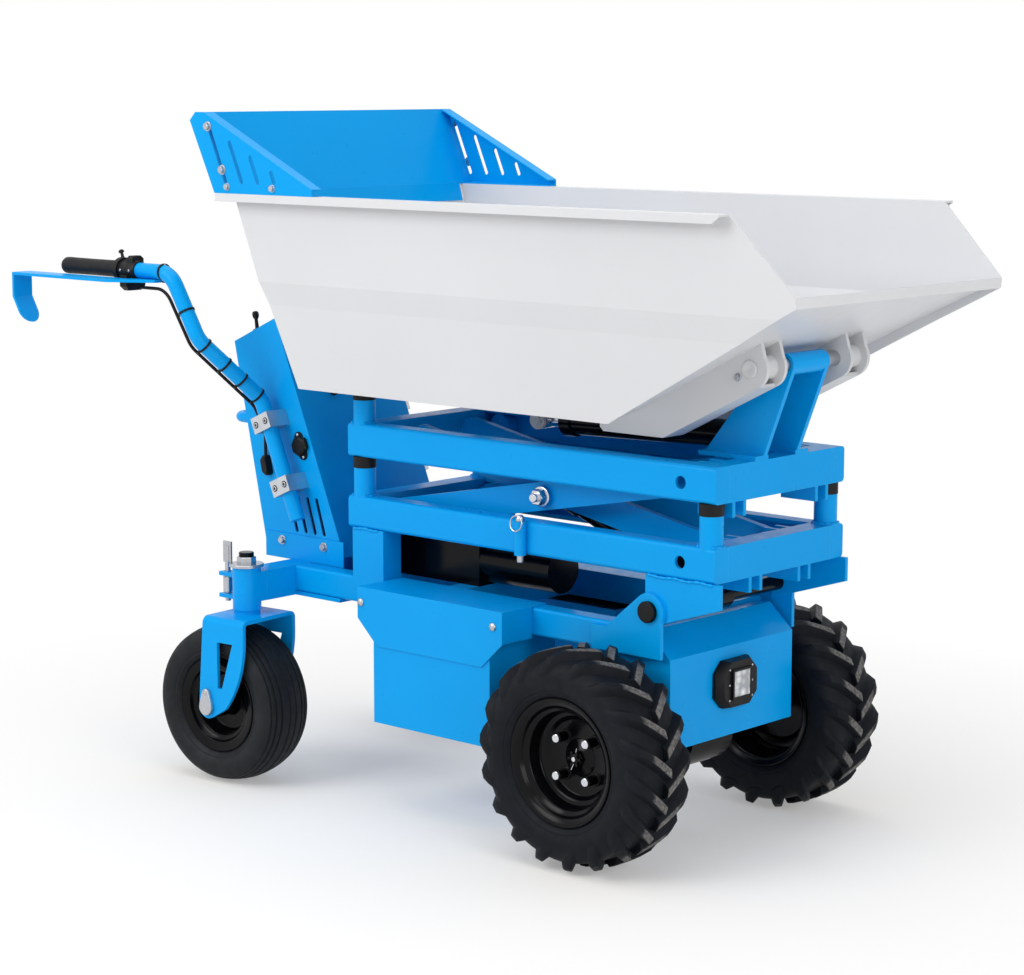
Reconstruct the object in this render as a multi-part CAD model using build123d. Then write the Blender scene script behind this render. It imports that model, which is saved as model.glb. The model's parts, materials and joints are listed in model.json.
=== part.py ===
from build123d import *
import math
import os

# Walk-behind electric site dumper with a scissor lift and a forward-tipping hopper.
# Millimetres. X runs forward from the front axle, Y to the machine's left, Z up from the floor.
# The finished nodes are shifted along X so that the origin lies under the middle of the machine.

# Front wheels: the tyre's radius is out to its lugs
FRONT_TYRE_R = 205
FRONT_TYRE_WIDTH = 160
FRONT_SIDES = 36
TRACK_OUT = 99
FRONT_RIM_R = 104
FRONT_RIM_WIDTH = 124
LUG_HEIGHT = 16
LUG_WIDTH = 27
LUG_LENGTH = 104
LUG_ANGLE = 38
LUGS_PER_SIDE = 18
AXLE_R = 20
AXLE_BORE = 60
DISC_Y = 6
HAT_R = 52
HAT_HEIGHT = 20
HUB_R = 28
HUB_HEIGHT = 38

# Casters, turned a little as they stand
CASTER_TYRE_R = 163
CASTER_TYRE_WIDTH = 128
CASTER_RIM_R = 84
CASTER_RIM_WIDTH = 96
CASTER_TRAIL = 40
CASTER_TURN = 5
CASTER_SIDES = 20
CASTER_AXLE_R = 9
CASTER_STEM_R = 15
SWIVEL_X = -896
SWIVEL_HALF = 302
HOUSING_R = 29
HOUSING_BOTTOM = 358
HOUSING_RISE = 9
FORK_TOP_Z = 350
FORK_REAR = 50
FORK_FRONT = 60
FORK_WAIST = 12
FORK_END_R = 24

# Both wheels' rims
RIM_WALL = 5
RIM_LIP = 14

# Chassis
FRAME_HALF = 195
RAIL_BOTTOM = 384
RAIL_HEIGHT = 53
RAIL_WIDTH = 40
RAIL_FRONT_X = 30
RAIL_ROUND = 6
BEAM_DEPTH = 60
POST_REAR_X = -697
POST_LENGTH = 86
POST_WIDTH = 50
REAR_PLATE_LENGTH = 130
PLATE = 8
SHEET = 3

# Front side plates
EAR_R = 34
EAR_REAR_X = -60
EAR_FRONT_X = 104
GUSSET_REAR_X = 61
GUSSET_FRONT_X = 232
GUSSET_TIP = 45

# Scissor lift
LIFT_REAR_X = -708
LIFT_FRONT_X = 219
LOWER_Z = 536
LOWER_HEIGHT = 64
LIFT_GAP = 79
UPPER_HEIGHT = 67
LIFT_TUBE = 48
CHANNEL_WALL = 8
PIN_INSET = 79
ROLLER_INSET = 88
OUTER_ARM_IN = 70
ARM_STEP = 51
ARM_THICK = 14
ARM_HEIGHT = 55
ARM_END_R = 24
SCISSOR_PIN_R = 12
PIVOT_COLLAR_R = 16
CROSS_TUBE_R = 19
CROSS_TUBE_BACK = 58
LUG_DROP = 28
TIE_HOLE_R = 12
STOP_R = 22
PAD_HEIGHT = 22
PAD_EDGE = 1

# Safety pin on the right lower rail
SAFETY_X = -237
SAFETY_SLEEVE_R = 11
SAFETY_PIN_R = 6
SAFETY_RISE = 14

# Hopper, on rests above the lift, with flares that step out from its floor
REST_HEIGHT = 69
HOPPER_SIDE_LOW = 166
HOPPER_JOGGLE = 46
HOPPER_SIDE_HIGH = 173
HOPPER_BOTTOM_HALF = 270
FLARE_LOW = 27
FLARE_JOGGLE = 15
FLARE_HIGH = 15
HOPPER_BOTTOM_REAR_X = -770
HOPPER_REAR_LEAN = 119
SKIRT_CORNER_X = 33
CHUTE_FOOT_X = -20
HOPPER_RIM_FRONT_X = 341
LIP_X = 474
LIP_RISE = 251
LIP_HEIGHT = 18
HOPPER_WALL = 4
RIM_FLANGE = 26
RIM_TURN = 16

# Hinge
HINGE_X = 262
HINGE_RISE = 106
HINGE_PIN_R = 14
HINGE_EAR_R = 37
HINGE_BOSS_R = 22
BRACKET_OUTER_Y = 148
BRACKET_INNER_Y = 96
BRACKET_REAR_X = -82
BRACKET_VERTEX_X = 67
BRACKET_FRONT_X = 285
BRACKET_DROP = 33
TOWER_Y = 50
TOWER_THICK = 10
TOWER_TUBE_R = 20
TOWER_REAR_X = 88
TOWER_FOOT = 24

# Spill guard
GUARD_HEIGHT = 158
GUARD_LEAN = 70
GUARD_TAB = 35
GUARD_REAR = 33
GUARD_LENGTH = 278
GUARD_TIP = 14
GUARD_FLANGE = 26
SLOT_COUNT = 4
SLOT_WIDTH = 10
SLOT_PITCH = 47
SLOT_MARGIN = 24

# Console and handles
CONSOLE_IN = 45
CONSOLE_BOTTOM_Z = 458
CONSOLE_BAND = 32
CONSOLE_FRONT_BOTTOM_X = -768
CONSOLE_REAR_BOTTOM_X = -1000
CONSOLE_FRONT_RISE = 478
CONSOLE_REAR_RISE = 422
CONSOLE_FRONT_LEAN = 199
CONSOLE_REAR_LEAN = 92
LOUVRE_COUNT = 4
LOUVRE_X = -930
LOUVRE_PITCH = 27
LOUVRE_WIDTH = 9
LOUVRE_LEAN = 22
LOUVRE_Z = 500
LOUVRE_HEIGHT = 68
GRAB_REACH = 95
GRAB_HALF = 100
GRAB_RISE = 254
GRAB_R = 11
GRAB_BEND = 30
HANDLE_R = 16
HANDLE_GAP = 16
HANDLE_FOOT = (-871, 529)
HANDLE_KINK = (-976, 770)
HANDLE_MID = (-1036, 897)
HANDLE_MID_IN = 12
HANDLE_BEND_X = -1105
HANDLE_BEND_R = 50
CLAMP_HEIGHTS = (598, 724)
CLAMP_WIDTH = 52
CLAMP_HEIGHT = 34
CLAMP_WALL = 6
GRIP_Y = 310
GRIP_Z = 1031
GRIP_R = 19
GRIP_LENGTH = 180
GRIP_REAR_X = -1443
GUARD_BAR_REAR_X = -1543
GUARD_BAR_WIDTH = 48
GUARD_BAR_THICK = 6
GUARD_BAR_DROP = 52
GUARD_BAR_TAIL = 54
GUARD_BAR_LEAN = 33

# Hand controls and their cables
CONTROL_RING_R = 25
CONTROL_RING = 13
CONTROL_LENGTH = 62
CONTROL_HALF = 13
CONTROL_DEPTH = 20
LEVER_HEIGHT = 22
CABLE_R = 3.5
CABLE_BEND_R = 45
GLAND_X = -991
GLAND_Z = 630
GLAND_LENGTH = 24
GLAND_DEPTH = 18

# Console fittings
SOCKET_X = -892
SOCKET_Z = 677
SOCKET_SIZE = 44
SOCKET_DEPTH = 14
PADDLE_X = -1040
PADDLE_Y = 132
PADDLE_WIDTH = 16
PADDLE_HEIGHT = 42
KNOB_Y = 52
KNOB_Z = 780
KNOB_R = 10

# Swivel locks behind the caster housings
LOCK_BACK = 57
LOCK_PLUNGER_R = 6
LOCK_BRACKET_HALF = 13
LOCK_TOP_Z = 450
LOCK_HANDLE = 32

# Cylinders
LIFT_PIN_X = 75
LIFT_PIN_Z = 470
LIFT_PIN_R = 15
LIFT_EYE_X = -330
LIFT_EYE_Z = 640
TIP_PIN_X = 125
TIP_PIN_DROP = 37
TIP_EYE_X = -350
TIP_EYE_DROP = 49
BARREL_R = 26
GLAND_EDGE = 4
ROD_R = 14
ROD_SHOW = 36
EYE_R = 18
EYE_WIDTH = 40
PIN_CAP_R = 20
PIN_CAP = 7

# Fits
RUN_CLEAR = 0.3
SIDE_CLEAR = 2
LUG_GAP = 5
WORK_CLEAR = 6

# Battery boxes
BATTERY_FRONT_X = -248
BATTERY_REAR_X = -557
BATTERY_DEPTH = 210
BATTERY_OUTER_Y = 280
BATTERY_INNER_Y = 90
BATTERY_GAP = 7
LID_OVER_FRONT = 34
LID_OVER_REAR = 41
LID_DROP = 109
LID_CHAMFER_RISE = 50
LID_CHAMFER_X = 53

# Hydraulic unit
TANK_FRONT_X = -430
TANK_LENGTH = 250
TANK_HALF = 110
TANK_GAP = 12
MOTOR_R = 45
MOTOR_LENGTH = 180

# Front cover, lamp and drive
COVER_FRONT_X = 113
COVER_REAR_X = -70
COVER_BOTTOM_Z = 212
COVER_BEND_Z = 382
COVER_SLOPE = 53
COVER_RISE = 48
COVER_HALF = 185
AXLE_NOTCH = 50
LAMP_Z = 313
LAMP_WIDTH = 122
LAMP_HEIGHT = 90
LAMP_CUT = 20
LAMP_DEPTH = 20
LENS_SIZE = 48
GEARBOX_R = 70
GEARBOX_HALF = 62
AXLE_TUBE_R = 36
HANGER_Y = 128
HANGER_WIDTH = 16
HANGER_REAR = 38
HANGER_FRONT = 28

FRONT_TRACK_HALF = FRAME_HALF + TRACK_OUT
OUTER_ARM_Y = FRAME_HALF - OUTER_ARM_IN
INNER_ARM_Y = OUTER_ARM_Y - ARM_STEP
CONSOLE_HALF = FRAME_HALF - CONSOLE_IN
RAIL_TOP = RAIL_BOTTOM + RAIL_HEIGHT
LOWER_TOP = LOWER_Z + LOWER_HEIGHT
UPPER_Z = LOWER_TOP + LIFT_GAP
UPPER_TOP = UPPER_Z + UPPER_HEIGHT
HOPPER_BOTTOM_Z = UPPER_TOP + REST_HEIGHT
HINGE_Z = HOPPER_BOTTOM_Z + HINGE_RISE
TIP_PIN_Z = HOPPER_BOTTOM_Z - TIP_PIN_DROP
TIP_EYE_Z = HOPPER_BOTTOM_Z - TIP_EYE_DROP
PIN_X = LIFT_FRONT_X - PIN_INSET
ROLLER_X = LIFT_REAR_X + ROLLER_INSET
LOWER_PIN_Z = LOWER_Z + LOWER_HEIGHT / 2
UPPER_PIN_Z = UPPER_Z + UPPER_HEIGHT / 2
PIVOT_X = (PIN_X + ROLLER_X) / 2
PIVOT_Z = (LOWER_PIN_Z + UPPER_PIN_Z) / 2
HOPPER_CREASE_LOW_Z = HOPPER_BOTTOM_Z + HOPPER_SIDE_LOW
HOPPER_CREASE_HIGH_Z = HOPPER_CREASE_LOW_Z + HOPPER_JOGGLE
HOPPER_RIM_Z = HOPPER_CREASE_HIGH_Z + HOPPER_SIDE_HIGH
HOPPER_CREASE_LOW_HALF = HOPPER_BOTTOM_HALF + FLARE_LOW
HOPPER_CREASE_HIGH_HALF = HOPPER_CREASE_LOW_HALF + FLARE_JOGGLE
HOPPER_RIM_HALF = HOPPER_CREASE_HIGH_HALF + FLARE_HIGH
HOPPER_RIM_REAR_X = HOPPER_BOTTOM_REAR_X - HOPPER_REAR_LEAN
LIP_Z = HOPPER_BOTTOM_Z + LIP_RISE
CONSOLE_FRONT_TOP = (CONSOLE_FRONT_BOTTOM_X - CONSOLE_FRONT_LEAN, CONSOLE_BOTTOM_Z + CONSOLE_FRONT_RISE)
CONSOLE_REAR_TOP = (CONSOLE_REAR_BOTTOM_X - CONSOLE_REAR_LEAN, CONSOLE_BOTTOM_Z + CONSOLE_REAR_RISE)
HANDLE_Y = CONSOLE_HALF + HANDLE_GAP + HANDLE_R
BATTERY_BOTTOM_Z = RAIL_BOTTOM - BATTERY_DEPTH
LID_FRONT_X = BATTERY_FRONT_X + LID_OVER_FRONT
LID_REAR_X = BATTERY_REAR_X - LID_OVER_REAR
LID_BOTTOM_Z = RAIL_TOP - LID_DROP
COVER_TOP_Z = COVER_BEND_Z + COVER_RISE
HOUSING_TOP = RAIL_TOP + HOUSING_RISE
CONTROL_LOW_TOP = GRIP_Z - HANDLE_R - GUARD_BAR_THICK - SHEET
STOP_CORNERS = (LIFT_FRONT_X - STOP_R - SHEET, LIFT_REAR_X + STOP_R + SHEET)
REST_CORNERS = (LIFT_REAR_X + STOP_R + SHEET,)
CENTRE_X = (LIP_X + GUARD_BAR_REAR_X) / 2


def box(x0, x1, y0, y1, z0, z1):
    """A block between two corners."""
    middle = Pos((x0 + x1) / 2, (y0 + y1) / 2, (z0 + z1) / 2)
    return middle * Box(abs(x1 - x0), abs(y1 - y0), abs(z1 - z0))


def plate_xz(points, y0, y1):
    """A flat plate with the given X, Z outline, from Y = y0 to Y = y1."""
    face = make_face(Polyline(*points, close=True))
    return Pos(0, y1, 0) * extrude(Plane.XZ * face, y1 - y0)


def plate_yz(points, x0, x1):
    """A flat plate with the given Y, Z outline, from X = x0 to X = x1."""
    face = make_face(Polyline(*points, close=True))
    return Pos(x0, 0, 0) * extrude(Plane.YZ * face, x1 - x0)


def round_x(y, z, radius, x0, x1):
    return Pos((x0 + x1) / 2, y, z) * Rot(0, 90, 0) * Cylinder(radius, abs(x1 - x0))


def round_y(x, z, radius, y0, y1):
    return Pos(x, (y0 + y1) / 2, z) * Rot(90, 0, 0) * Cylinder(radius, abs(y1 - y0))


def round_z(x, y, radius, z0, z1):
    return Pos(x, y, (z0 + z1) / 2) * Cylinder(radius, abs(z1 - z0))


def mirrored(shape):
    """The same shape on the other side of the centre plane."""
    return mirror(shape, about=Plane.XZ)


def pair(shape):
    """A shape and its mirror image, as two solids that don't touch."""
    return Compound([*shape.solids(), *mirrored(shape).solids()])


def write(node, shape):
    """Shift a node to the machine's own origin and write it."""
    export_step(Pos(-CENTRE_X, 0, 0) * shape, f"parts/{node}.step")


def link_plate(x0, z0, x1, z1, height, end_r, y0, y1):
    """A straight arm with round ends between two points of the X, Z plane."""
    length = math.hypot(x1 - x0, z1 - z0)
    angle = math.degrees(math.atan2(z1 - z0, x1 - x0))
    bar = Box(length, y1 - y0, height)
    middle = Pos((x0 + x1) / 2, (y0 + y1) / 2, (z0 + z1) / 2) * Rot(0, -angle, 0)
    return middle * bar + round_y(x0, z0, end_r, y0, y1) + round_y(x1, z1, end_r, y0, y1)


def sheet_strip(start, end, thick, y0, y1):
    """A flat strip along a line of the X, Z plane, on the line's right-hand side."""
    length = math.hypot(end[0] - start[0], end[1] - start[1])
    across = ((end[1] - start[1]) * thick / length, -(end[0] - start[0]) * thick / length)
    corners = [
        start, end, (end[0] + across[0], end[1] + across[1]), (start[0] + across[0], start[1] + across[1]),
    ]
    return plate_xz(corners, y0, y1)


def tube_along(path, radius):
    """A round bar along a path."""
    return sweep(Plane(path @ 0, z_dir=path % 0) * Circle(radius), path)


def chassis_rails():
    """Two box rails with the short posts that lift the rear of the scissor frame."""
    inner = FRAME_HALF - RAIL_WIDTH
    rail = box(SWIVEL_X + BEAM_DEPTH / 2, RAIL_FRONT_X, inner, FRAME_HALF, RAIL_BOTTOM, RAIL_TOP)
    outer_edges = rail.edges().filter_by(Axis.X).group_by(Axis.Y)[-1]
    rail = fillet(outer_edges, RAIL_ROUND)
    rail += box(
        POST_REAR_X, POST_REAR_X + POST_LENGTH, FRAME_HALF - POST_WIDTH, FRAME_HALF, RAIL_TOP - RAIL_ROUND, LOWER_Z,
    ) - box(POST_REAR_X, POST_REAR_X + POST_LENGTH, 0, inner, 0, RAIL_TOP)
    return pair(rail)


def caster_beam():
    """The rear cross beam with a swivel housing and a lock bracket at each end."""
    beam = box(
        SWIVEL_X - BEAM_DEPTH / 2, SWIVEL_X + BEAM_DEPTH / 2,
        -SWIVEL_HALF, SWIVEL_HALF, RAIL_BOTTOM - PLATE, RAIL_TOP,
    )
    lock_x = SWIVEL_X - LOCK_BACK
    for side in (-1, 1):
        y = side * SWIVEL_HALF
        beam += round_z(SWIVEL_X, y, HOUSING_R, HOUSING_BOTTOM, HOUSING_TOP)
        for z in (RAIL_BOTTOM - PLATE, RAIL_TOP - 2 * PLATE):
            beam += box(
                lock_x - LOCK_BRACKET_HALF, SWIVEL_X, y - LOCK_BRACKET_HALF, y + LOCK_BRACKET_HALF, z, z + PLATE,
            )
        beam -= box(
            SWIVEL_X + HOUSING_R, SWIVEL_X + BEAM_DEPTH, y - side * HOUSING_R, y, 0, RAIL_TOP,
        )
        beam -= round_z(SWIVEL_X, y, CASTER_STEM_R + RUN_CLEAR, 0, HOUSING_TOP)
        beam -= round_z(lock_x, y, LOCK_PLUNGER_R + RUN_CLEAR, 0, HOUSING_TOP)
    return beam


def swivel_locks():
    """Spring plungers with flat handles, behind the swivel housings."""
    x = SWIVEL_X - LOCK_BACK
    bottom = RAIL_BOTTOM - 2 * PLATE
    lock = round_z(x, SWIVEL_HALF, LOCK_PLUNGER_R, bottom, LOCK_TOP_Z)
    lock += round_z(x, SWIVEL_HALF, LOCK_BRACKET_HALF - SHEET, RAIL_BOTTOM + SHEET, RAIL_TOP - 2 * PLATE - SHEET)
    lock += box(
        x - LOCK_PLUNGER_R, x + LOCK_PLUNGER_R, SWIVEL_HALF - SHEET, SWIVEL_HALF + SHEET,
        LOCK_TOP_Z, LOCK_TOP_Z + LOCK_HANDLE,
    )
    return pair(lock)


def cross_members():
    """Cross members between the rails, and the plate under their rear ends."""
    inner = FRAME_HALF - RAIL_WIDTH
    rear = box(POST_REAR_X, POST_REAR_X + POST_WIDTH, -inner, inner, RAIL_BOTTOM, RAIL_TOP)
    middle = box(TANK_FRONT_X - POST_WIDTH, TANK_FRONT_X, -inner, inner, RAIL_BOTTOM, RAIL_TOP)
    front = box(RAIL_FRONT_X - POST_WIDTH, RAIL_FRONT_X, -inner, inner, RAIL_BOTTOM, RAIL_TOP)
    plate_rear = SWIVEL_X + BEAM_DEPTH / 2
    plate = box(
        plate_rear, plate_rear + REAR_PLATE_LENGTH, -FRAME_HALF, FRAME_HALF, RAIL_BOTTOM - PLATE, RAIL_BOTTOM,
    )
    return Compound([*rear.solids(), *middle.solids(), *front.solids(), *plate.solids()])


def front_side_plates():
    """Outer side plates with the ear that holds the lift cylinder's pin, and the gusset above."""
    shoulder = EAR_R * 0.6
    brow = LIFT_PIN_Z + EAR_R * 0.8
    low = RAIL_TOP - PLATE
    ear = plate_xz(
        [
            (EAR_REAR_X, RAIL_BOTTOM), (EAR_FRONT_X, RAIL_BOTTOM), (EAR_FRONT_X, LIFT_PIN_Z - EAR_R / 2),
            (LIFT_PIN_X + shoulder, brow), (LIFT_PIN_X - shoulder, brow),
            (EAR_REAR_X + EAR_R, low), (EAR_REAR_X, low),
        ],
        FRAME_HALF, FRAME_HALF + PLATE,
    )
    ear += round_y(LIFT_PIN_X, LIFT_PIN_Z, EAR_R, FRAME_HALF, FRAME_HALF + PLATE)
    gusset = plate_xz(
        [
            (GUSSET_REAR_X, LOWER_Z), (GUSSET_FRONT_X, LOWER_Z), (GUSSET_FRONT_X, LOWER_Z - GUSSET_TIP),
            (EAR_FRONT_X + PLATE, RAIL_TOP + 2 * PLATE), (GUSSET_REAR_X, RAIL_TOP),
        ],
        FRAME_HALF - PLATE, FRAME_HALF,
    )
    plate = ear + gusset
    return pair(plate - round_y(LIFT_PIN_X, LIFT_PIN_Z, LIFT_PIN_R, 0, 2 * FRAME_HALF))


def lift_pin():
    """The cross pin that carries the lift cylinder, with a cap at each end."""
    end = FRAME_HALF + PLATE
    pin = round_y(LIFT_PIN_X, LIFT_PIN_Z, LIFT_PIN_R, -end, end)
    for side in (-1, 1):
        pin += round_y(LIFT_PIN_X, LIFT_PIN_Z, PIN_CAP_R, side * end, side * (end + PIN_CAP))
    return pin


def side_channel(z0, height, stop_top, corners):
    """A lift frame's side rail: a channel that opens inwards, where a roller runs, with stop posts on top."""
    inner = FRAME_HALF - LIFT_TUBE + CHANNEL_WALL
    rail = box(LIFT_REAR_X, LIFT_FRONT_X, inner, FRAME_HALF, z0, z0 + height)
    front_edges = rail.edges().filter_by(Axis.X).group_by(Axis.Y)[-1]
    rail = fillet(front_edges, CHANNEL_WALL)
    rail -= box(
        LIFT_REAR_X + LIFT_TUBE, LIFT_FRONT_X - LIFT_TUBE, 0, FRAME_HALF - CHANNEL_WALL,
        z0 + CHANNEL_WALL, z0 + height - CHANNEL_WALL,
    )
    rail -= round_y(PIN_X, z0 + height / 2, TIE_HOLE_R, 0, 2 * FRAME_HALF)
    for x in corners:
        rail += round_z(
            x, FRAME_HALF - STOP_R, STOP_R, z0 + height - CHANNEL_WALL, stop_top - PAD_HEIGHT - RUN_CLEAR,
        ) - box(x - STOP_R, x + STOP_R, 0, inner, 0, z0 + height)
    return rail


def stop_pads(top_z, corners):
    """Rubber pads on top of the posts."""
    base = top_z - PAD_HEIGHT - RUN_CLEAR
    pads = [round_z(x, FRAME_HALF - STOP_R, STOP_R + PAD_EDGE, base, top_z - RUN_CLEAR) for x in corners]
    return Compound([solid for pad in pads for solid in pair(pad).solids()])


def lower_side_channels():
    """The lower frame's side rails, the right one with the safety pin's sleeve."""
    left = side_channel(LOWER_Z, LOWER_HEIGHT, UPPER_Z, STOP_CORNERS)
    right = mirrored(left)
    sleeve_y = -(FRAME_HALF + SAFETY_SLEEVE_R - SIDE_CLEAR)
    right += round_z(SAFETY_X, sleeve_y, SAFETY_SLEEVE_R, LOWER_Z, LOWER_TOP)
    right -= round_z(SAFETY_X, sleeve_y, SAFETY_PIN_R + RUN_CLEAR, LOWER_Z, LOWER_TOP)
    return Compound([*left.solids(), *right.solids()])


def safety_pin():
    """The lift's safety pin in its sleeve, with a collar and a pull ring."""
    y = -(FRAME_HALF + SAFETY_SLEEVE_R - SIDE_CLEAR)
    top = LOWER_TOP + SAFETY_RISE
    pin = round_z(SAFETY_X, y, SAFETY_PIN_R, LOWER_Z - SAFETY_RISE, top)
    pin += round_z(SAFETY_X, y, SAFETY_SLEEVE_R, LOWER_TOP, LOWER_TOP + SHEET)
    ring = round_y(SAFETY_X, top, SAFETY_RISE, y - SHEET, y + SHEET)
    return pin + ring - round_y(SAFETY_X, top, SAFETY_RISE - 2 * SHEET + SIDE_CLEAR, y - SHEET, y + SHEET)


def cross_rails(z0, height):
    """A lift frame's front and rear cross rails."""
    inner = FRAME_HALF - LIFT_TUBE + CHANNEL_WALL
    rear = box(LIFT_REAR_X, LIFT_REAR_X + LIFT_TUBE, -inner, inner, z0, z0 + height)
    front = box(LIFT_FRONT_X - LIFT_TUBE, LIFT_FRONT_X, -inner, inner, z0, z0 + height)
    return rear, front


def clevis_lugs(arm_y, pin_z, top_z, bottom_z):
    """Two lug plates astride an arm's front end, behind the front cross rail."""
    lugs = []
    gap = ARM_THICK / 2 + LUG_GAP
    for near in (arm_y - gap - PLATE, arm_y + gap):
        lug = box(PIN_X, LIFT_FRONT_X, near, near + PLATE, bottom_z, top_z)
        lug += round_y(PIN_X, pin_z, ARM_END_R, near, near + PLATE)
        lug -= round_y(PIN_X, pin_z, SCISSOR_PIN_R + RUN_CLEAR, near, near + PLATE)
        lugs.append(lug)
    return lugs


def lugged_cross_rails(z0, height, arm_y):
    """A frame's cross rails, the front one with the lugs that hold a pair of arms."""
    rear, front = cross_rails(z0, height)
    for lug in clevis_lugs(arm_y, z0 + height / 2, z0 + height, z0 - LUG_DROP):
        front += lug
        front += mirrored(lug)
    return Compound([*rear.solids(), *front.solids()])


def inner_arms():
    """Two inner scissor arms with their front pins and upper rollers."""
    y0 = INNER_ARM_Y - ARM_THICK / 2
    y1 = INNER_ARM_Y + ARM_THICK / 2
    reach = FRAME_HALF - CHANNEL_WALL - SIDE_CLEAR
    arm = link_plate(PIN_X, LOWER_PIN_Z, ROLLER_X, UPPER_PIN_Z, ARM_HEIGHT, ARM_END_R, y0, y1)
    lug_reach = LUG_GAP + PLATE + SHEET
    arm += round_y(PIN_X, LOWER_PIN_Z, SCISSOR_PIN_R, y0 - lug_reach, y1 + lug_reach)
    arm += round_y(ROLLER_X, UPPER_PIN_Z, SCISSOR_PIN_R, y0, reach)
    arm += round_y(
        ROLLER_X, UPPER_PIN_Z, UPPER_HEIGHT / 2 - CHANNEL_WALL - SIDE_CLEAR / 2,
        FRAME_HALF - LIFT_TUBE + CHANNEL_WALL, reach,
    )
    return pair(arm - round_y(PIVOT_X, PIVOT_Z, SCISSOR_PIN_R + RUN_CLEAR, 0, FRAME_HALF))


def arm_cross_tube():
    """The tube between the inner arms, with the ears that take the lift rod's eye."""
    x = LIFT_EYE_X - CROSS_TUBE_BACK
    z = LOWER_PIN_Z + (PIN_X - x) * (UPPER_PIN_Z - LOWER_PIN_Z) / (PIN_X - ROLLER_X)
    end = INNER_ARM_Y - ARM_THICK / 2
    tube = round_y(x, z, CROSS_TUBE_R, -end, end)
    near = EYE_WIDTH / 2 + SIDE_CLEAR
    ear = link_plate(x, z, LIFT_EYE_X, LIFT_EYE_Z, 2 * CROSS_TUBE_R, EYE_R, near, near + PLATE)
    ear += round_y(LIFT_EYE_X, LIFT_EYE_Z, SCISSOR_PIN_R, near, near + 2 * PLATE)
    return tube + ear + mirrored(ear)


def outer_arms():
    """Two outer scissor arms with their front pins, centre pins and lower rollers."""
    y0 = OUTER_ARM_Y - ARM_THICK / 2
    y1 = OUTER_ARM_Y + ARM_THICK / 2
    reach = FRAME_HALF - CHANNEL_WALL - SIDE_CLEAR
    arm = link_plate(PIN_X, UPPER_PIN_Z, ROLLER_X, LOWER_PIN_Z, ARM_HEIGHT, ARM_END_R, y0, y1)
    lug_reach = LUG_GAP + PLATE + SHEET
    arm += round_y(PIN_X, UPPER_PIN_Z, SCISSOR_PIN_R, y0 - lug_reach, y1 + lug_reach)
    arm += round_y(PIVOT_X, PIVOT_Z, SCISSOR_PIN_R, INNER_ARM_Y - ARM_THICK / 2 - PLATE, y1 + 3 * PLATE)
    arm += round_y(PIVOT_X, PIVOT_Z, PIVOT_COLLAR_R, y1, y1 + PLATE)
    arm += round_y(ROLLER_X, LOWER_PIN_Z, SCISSOR_PIN_R, y1, reach)
    arm += round_y(
        ROLLER_X, LOWER_PIN_Z, LOWER_HEIGHT / 2 - CHANNEL_WALL - SIDE_CLEAR / 2,
        FRAME_HALF - LIFT_TUBE + CHANNEL_WALL, reach,
    )
    return pair(arm)


def roller_axle():
    """The bar between the outer arms' rear ends."""
    end = OUTER_ARM_Y - ARM_THICK / 2
    return round_y(ROLLER_X, LOWER_PIN_Z, SCISSOR_PIN_R, -end, end)


def cylinder_parts(pin_x, pin_z, eye_x, eye_z, pin_r):
    """A cylinder's barrel on its pin and its rod, which ends in a free eye."""
    length = math.hypot(eye_x - pin_x, eye_z - pin_z)
    angle = math.degrees(math.atan2(eye_z - pin_z, eye_x - pin_x))
    place = Pos(pin_x, 0, pin_z) * Rot(0, -angle, 0)
    foot = BARREL_R
    gland = BARREL_R
    barrel_end = length - EYE_R - ROD_SHOW
    barrel = round_x(0, 0, BARREL_R, foot, barrel_end)
    barrel += round_x(0, 0, BARREL_R + GLAND_EDGE, barrel_end - gland, barrel_end)
    barrel += round_y(0, 0, BARREL_R - PAD_EDGE, -EYE_WIDTH / 2, EYE_WIDTH / 2)
    barrel += box(0, 2 * foot, -EYE_WIDTH / 2, EYE_WIDTH / 2, -BARREL_R / 2, BARREL_R / 2)
    barrel -= round_y(0, 0, pin_r + RUN_CLEAR, -EYE_WIDTH, EYE_WIDTH)
    barrel -= round_x(0, 0, ROD_R + RUN_CLEAR, 2 * foot + gland, length)
    rod = round_x(0, 0, ROD_R, 2 * foot + gland + SIDE_CLEAR, length - EYE_R / 2)
    rod += round_y(length, 0, EYE_R, -EYE_WIDTH / 2, EYE_WIDTH / 2)
    return place * barrel, place * rod


def hopper_section(inset, floor_z):
    """The hopper's Y, Z outline, set in by a wall thickness and open above the rim."""
    levels = [
        (HOPPER_BOTTOM_HALF, floor_z), (HOPPER_CREASE_LOW_HALF, HOPPER_CREASE_LOW_Z),
        (HOPPER_CREASE_HIGH_HALF, HOPPER_CREASE_HIGH_Z), (HOPPER_RIM_HALF, HOPPER_RIM_Z + inset),
    ]
    right = [(-half + inset, z) for half, z in levels]
    left = [(half - inset, z) for half, z in reversed(levels)]
    return right + left


def chute_height(x):
    """The height of the chute's underside at X."""
    rise = (LIP_Z - HOPPER_WALL - HOPPER_BOTTOM_Z) / (LIP_X - CHUTE_FOOT_X)
    return HOPPER_BOTTOM_Z + (x - CHUTE_FOOT_X) * rise


def rear_wall_x(z):
    """The inner face of the hopper's rear wall at a height."""
    rise = HOPPER_RIM_Z - HOPPER_BOTTOM_Z
    return HOPPER_BOTTOM_REAR_X + HOPPER_WALL - (z - HOPPER_BOTTOM_Z - HOPPER_WALL) * HOPPER_REAR_LEAN / rise


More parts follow.
